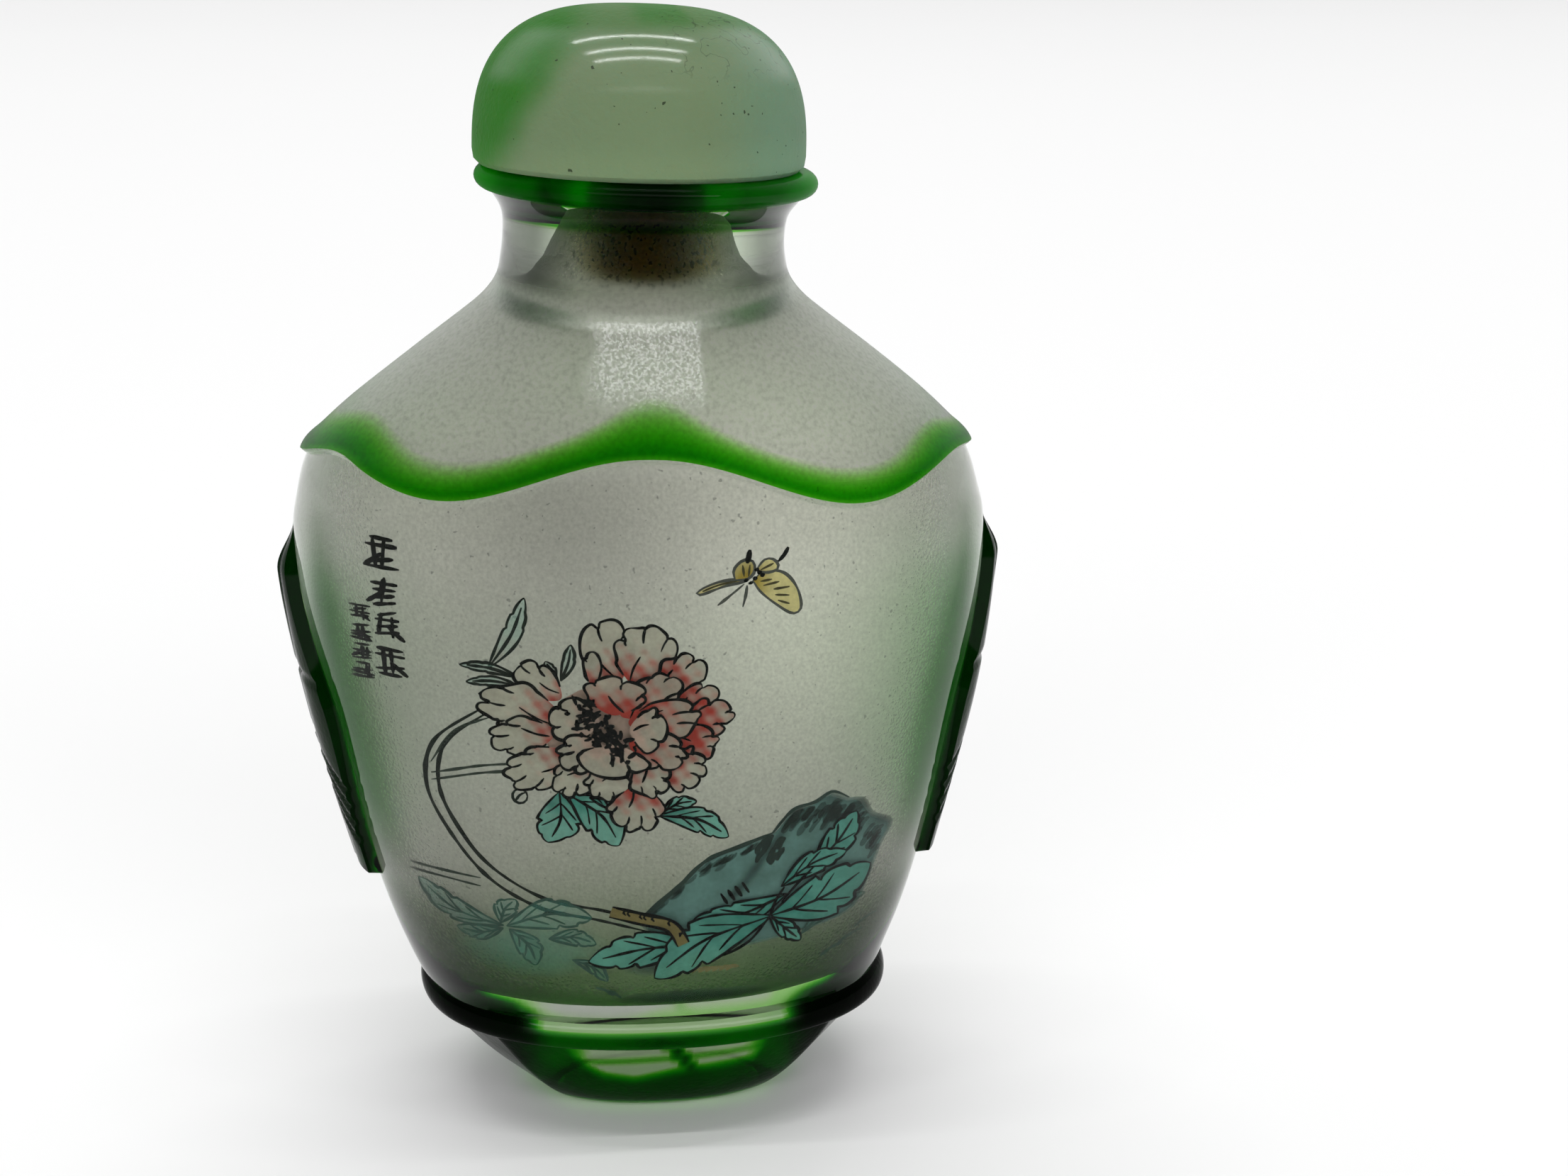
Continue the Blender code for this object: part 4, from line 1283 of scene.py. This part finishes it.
def overlay_glass(settings):
    """The thick green overlay of the lip, the leaves and the foot: dense glass, polished."""
    finish = Finish("overlay_glass", Transmission_Weight=0.55, IOR=1.05, Coat_Roughness=0.06,
                    Specular_Tint=(0.0, 0.0, 0.0))
    lip = finish.axes(finish.place())[2].step(*LIP_SATIN)
    finish.bump(finish.noise(420.0, 3.0) + finish.noise(2600.0) * 0.4, 0.00005)
    return finish.surface(Base_Color=tinted_by_overlay(finish, settings, 0.35),
                          Coat_Weight=finish.attribute("shine"), Roughness=0.12 + lip * 0.5)


def frosted_glass(name, glint):
    """Sand-frosted inner wall, with soot from the cork in the neck, where it has no glint."""
    finish = Finish(name, Transmission_Weight=1.0, IOR=1.5, Roughness=0.7,
                    Specular_Tint=(glint, glint, glint))
    grain = finish.noise(4200.0)
    shade = 0.45 + grain * 0.85 + finish.noise(130.0, 3.0) * 0.22
    fleck = finish.noise(4200.0, 1.0, (1.0, 1.0, 0.4)).step(0.60, 0.63) * finish.attribute("soot")
    speck = finish.noise(2400.0, 1.0).step(0.72, 0.75) * 0.6
    shade = shade * (1.0 - fleck * 0.93) * (1.0 - speck)
    finish.bump(grain, 0.00005)
    # The frosting's colour carries the painted glow, light and shade
    return finish.surface(Base_Color=finish.shaded(finish.painted("frost_and_painted_light")[0], shade))


def celadon_glass(settings):
    """Cloudy pale green glass of the cap, deep green on the left and cooler on the right."""
    finish = Finish("celadon_glass", Roughness=0.7, IOR=1.5, Specular_IOR_Level=0.1,
                    Subsurface_Weight=0.3, Subsurface_Scale=0.004, Coat_Roughness=0.13)
    x, y, z = finish.axes(finish.place())
    cloud = finish.noise(110.0, 4.0)
    wave = (cloud - 0.5) * 0.0022
    edge = x - (z - 0.0708) * 0.55 + 0.0094 + wave
    deep = 1.0 - edge.step(-0.0014, 0.0016)
    crown = z.step(*CAP_CROWN)
    streak = (x + wave).band(*CAP_STREAK) * (z + y * 0.3).step(0.0762, 0.0785)
    color = finish.mix((x + wave).step(0.003, 0.009), settings.celadon, settings.celadon_cool)
    for share in (streak * 0.35 + crown * 0.5, deep):
        color = finish.mix(share, color, settings.celadon_deep)
    # Painted light and shade: the cap is lighter low down and darker at its crown; the cloud makes
    # its tone uneven
    lighter = 0.62 + (1.0 - z.step(0.0695, 0.0725)) * 0.12 - crown * 0.1 + cloud * 0.22
    crack = finish.noise(420.0, 3.0).band(0.488, 0.5, 0.5, 0.512) * z.step(0.0755, 0.0775)
    crack = crack * x.step(0.0, 0.003)
    speck = finish.noise(2300.0, 1.0).step(0.76, 0.775)
    polished = z.band(*CAP_POLISH) * (1.0 - y.step(-0.006, -0.002))
    shade = lighter * (1.0 - crack * 0.5) * (1.0 - speck * 0.75)
    finish.bump(finish.noise(2300.0) + finish.noise(600.0), 0.00009)
    return finish.surface(Base_Color=finish.shaded(color, shade), Coat_Weight=polished)


def cork_grain(settings):
    """Dull brown cork, speckled darker."""
    finish = Finish("cork", Roughness=0.9)
    grain = finish.noise(900.0, 5.0)
    color = finish.mix(grain, scaled(settings.cork_brown, 0.35), settings.cork_brown)
    finish.bump(grain, 0.0002)
    return finish.surface(Base_Color=color)


def inside_paint():
    """Water colour and ink on the frosting, a little broken by its grain."""
    finish = Finish("inside_paint", Roughness=0.7, Specular_IOR_Level=0.1)
    color, strength = finish.painted("paint")
    bloom = finish.noise(600.0, 4.0)
    shade = 0.60 + finish.noise(3600.0) * 0.35 + bloom * 0.45
    return finish.surface(Base_Color=finish.shaded(color, shade),
                          Alpha=strength * (0.80 + 0.36 * bloom))


def floor_paper(settings):
    """Plain matte floor of a very even tone."""
    finish = Finish("floor_paper", Roughness=0.8, Specular_IOR_Level=0.2)
    shade = 0.99 + finish.noise(1.5) * 0.02
    return finish.surface(Base_Color=finish.rgb(*scaled(settings.floor_tint, shade)))


# ---- Operators

class SNUFF_OT_bottle(bpy.types.Operator):
    """Make the hollow glass bottle with its overlay carving"""
    bl_idname = "snuff.bottle"
    bl_label = "Bottle"

    def execute(self, context):
        settings = context.scene.snuff_glass
        skin = Skin(settings.leaf_columns, settings.rest_columns)
        for add_part in (add_foot, add_body, add_shoulder, add_lip, add_hollow):
            add_part(skin)
        points = np.array(skin.rows)
        obj, row, column = draped_grid("glass_bottle", points)
        values = {name: np.array(rows)[row, column] for name, rows in skin.values.items()}
        glass = values.pop("glass")
        frost_and_painted_light, values["soot"] = frost_shade(points[row, column], settings)
        color_attribute(obj.data, "frost_and_painted_light", frost_and_painted_light)
        for name, value in values.items():
            float_attribute(obj.data, name, value)
        corner = np.empty(len(obj.data.loops), dtype=int)
        obj.data.loops.foreach_get("vertex_index", corner)
        corners = glass[corner].reshape(-1, 4)
        same = (corners == corners[:, :1]).all(axis=1)
        obj.data.polygons.foreach_set("material_index", np.where(same, corners[:, 0], CLEAR))
        close_up(obj)
        glasses = [clear_glass(settings), overlay_glass(settings),
                   frosted_glass("frosted_glass", 1.0), frosted_glass("sooty_glass", 0.0)]
        finish_piece(obj, glasses, "bottle")
        return {"FINISHED"}


class SNUFF_OT_painting(bpy.types.Operator):
    """Paint the peony, butterfly, rock, leaves and writing on the front inner wall"""
    bl_idname = "snuff.painting"
    bl_label = "Painting"

    def execute(self, context):
        settings = context.scene.snuff_paint
        material = inside_paint()
        for motif in MOTIFS:
            motif(settings).finish(material)
        return {"FINISHED"}


def turned(name, profile, columns, offset=0.0):
    """A piece turned from radii and heights over the lip, standing on the leaning lip."""
    angle = np.linspace(0, 2 * pi, columns + 1)
    lean = radians(LIP_LEAN)
    radius, height = np.array(profile).T[:, :, None]
    x, y, z = np.broadcast_arrays(radius * np.cos(angle), radius * np.sin(angle), height)
    points = np.stack([x * cos(lean) + z * sin(lean) + float(wander(LIP_TOP)) + offset, y,
                       z * cos(lean) - x * sin(lean) + LIP_TOP], axis=-1)
    obj = draped_grid(name, points)[0]
    close_up(obj)
    return obj


class SNUFF_OT_cap(bpy.types.Operator):
    """Make the domed cap of the stopper"""
    bl_idname = "snuff.cap"
    bl_label = "Stopper cap"

    def execute(self, context):
        profile = [(0.0, CAP_SEAT), (CAP_RADIUS - 2.0, CAP_SEAT), (CAP_RADIUS - 0.45, CAP_SEAT),
                   (CAP_RADIUS - 0.1, CAP_SEAT + 0.35)]
        dome = CAP_HEIGHT + GAP - CAP_SEAT - CAP_WAIST
        for fall in np.linspace(pi / 2, 0, 60):
            rise = max(0.0, cos(fall)) ** (2 / CAP_TOP_POWER)
            profile.append((CAP_RADIUS * sin(fall) ** (2 / CAP_SIDE_POWER),
                            CAP_SEAT + CAP_WAIST + dome * rise))
        finish_piece(turned("cap", profile, 160, CAP_OFFSET),
                     [celadon_glass(context.scene.snuff_stopper)], "stopper_cap")
        return {"FINISHED"}


class SNUFF_OT_cork(bpy.types.Operator):
    """Make the cork under the cap"""
    bl_idname = "snuff.cork"
    bl_label = "Stopper cork"

    def execute(self, context):
        r = CORK_RADIUS
        profile = [(0.0, -CORK_LENGTH), (r - 0.3, -CORK_LENGTH)]
        profile += [(r, z) for z in np.linspace(0.4 - CORK_LENGTH, -0.3, 20)]
        profile += [(r - 0.15, 0.0), (0.0, 0.0)]
        finish_piece(turned("cork", profile, 64), [cork_grain(context.scene.snuff_stopper)],
                     "stopper_cork")
        return {"FINISHED"}


class SNUFF_OT_stage(bpy.types.Operator):
    """Lay the floor and set up the lights and the camera"""
    bl_idname = "snuff.stage"
    bl_label = "Stage"

    def execute(self, context):
        settings = context.scene.snuff_stage
        deselect_all()
        bpy.ops.mesh.primitive_plane_add(size=settings.floor_size, location=FLOOR_PLACE)
        bpy.ops.object.transform_apply(location=True)
        floor = bpy.context.object
        floor.name = "floor"
        floor.data.materials.append(floor_paper(settings))
        self.room(context, settings)
        self.lamp("front_panel", PANEL_PLACE, radians(PANEL_TIP), *PANEL_SIZE,
                  settings.front_panel)
        for i, y in enumerate(STRIP_ROWS):
            self.lamp(f"strip_{i + 1}", (STRIP_ACROSS, y, STRIP_HEIGHT), 0.0, *STRIP_SIZE,
                      settings.strip_light)
        self.camera(context, settings)
        context.scene.view_settings.view_transform = "Standard"
        return {"FINISHED"}

    def room(self, context, settings):
        """Dim light all round, brighter behind the bottle."""
        world = bpy.data.worlds.new("room")
        world.use_nodes = True
        shading = Shading(world.node_tree)
        depth = shading.axes(shading.add("ShaderNodeTexCoord")[0])[1]
        strength = settings.room_light + depth.step(-0.2, 0.9) * settings.back_light
        background = world.node_tree.nodes["Background"]
        shading.plug(background.inputs["Color"], (1.0, 1.0, 1.0))
        shading.plug(background.inputs["Strength"], strength)
        context.scene.world = world

    def lamp(self, name, place, tip_up, width, depth, brightness):
        """A panel of light that looks straight down, or is tipped up toward the back."""
        bpy.ops.object.light_add(type="AREA", location=place, rotation=(tip_up, 0, 0))
        lamp = bpy.context.object
        lamp.name = name
        lamp.data.shape = "RECTANGLE"
        lamp.data.size, lamp.data.size_y = width, depth
        lamp.data.energy = brightness * pi * width * depth

    def camera(self, context, settings):
        """The camera looks down on the front from a little left of it."""
        turn, pitch, roll = map(radians, (CAMERA_TURN, CAMERA_PITCH, CAMERA_ROLL))
        forward = Vector((sin(turn) * cos(pitch), cos(turn) * cos(pitch), sin(pitch)))
        level = Vector((cos(turn), -sin(turn), 0.0))
        upright = level.cross(forward)
        right = level * cos(roll) + upright * sin(roll)
        up = upright * cos(roll) - level * sin(roll)
        bpy.ops.object.camera_add()
        camera = bpy.context.object
        camera.name = "camera"
        camera.data.lens = settings.lens
        axes = Matrix((right, up, -forward)).transposed()
        camera.matrix_world = Matrix.Translation(CAMERA_PLACE) @ axes.to_4x4()
        camera.data.clip_start = 0.01
        context.scene.camera = camera


class SNUFF_PT_panel(bpy.types.Panel):
    """Sidebar panel with the bottle's settings and steps"""
    bl_idname = "SNUFF_PT_panel"
    bl_label = "Snuff bottle"
    bl_space_type = "VIEW_3D"
    bl_region_type = "UI"
    bl_category = "Snuff bottle"

    def draw(self, context):
        for name in GROUPS:
            group = getattr(context.scene, name)
            box = self.layout.box()
            for setting in group.__annotations__:
                box.prop(group, setting)
        for operator in OPERATORS:
            self.layout.operator(operator.bl_idname)


GROUPS = {"snuff_glass": GlassSettings, "snuff_stopper": StopperSettings,
          "snuff_paint": PaintSettings, "snuff_stage": StageSettings}
OPERATORS = (SNUFF_OT_bottle, SNUFF_OT_painting, SNUFF_OT_cap, SNUFF_OT_cork, SNUFF_OT_stage)


def register():
    for cls in (*GROUPS.values(), *OPERATORS, SNUFF_PT_panel):
        bpy.utils.register_class(cls)
    for name, group in GROUPS.items():
        setattr(bpy.types.Scene, name, PointerProperty(type=group))


def unregister():
    for name in GROUPS:
        delattr(bpy.types.Scene, name)
    for cls in reversed((*GROUPS.values(), *OPERATORS, SNUFF_PT_panel)):
        bpy.utils.unregister_class(cls)


def main():
    register()
    bpy.ops.snuff.bottle()
    bpy.ops.snuff.painting()
    bpy.ops.snuff.cap()
    bpy.ops.snuff.cork()
    bpy.ops.snuff.stage()


if __name__ == "__main__":
    main()
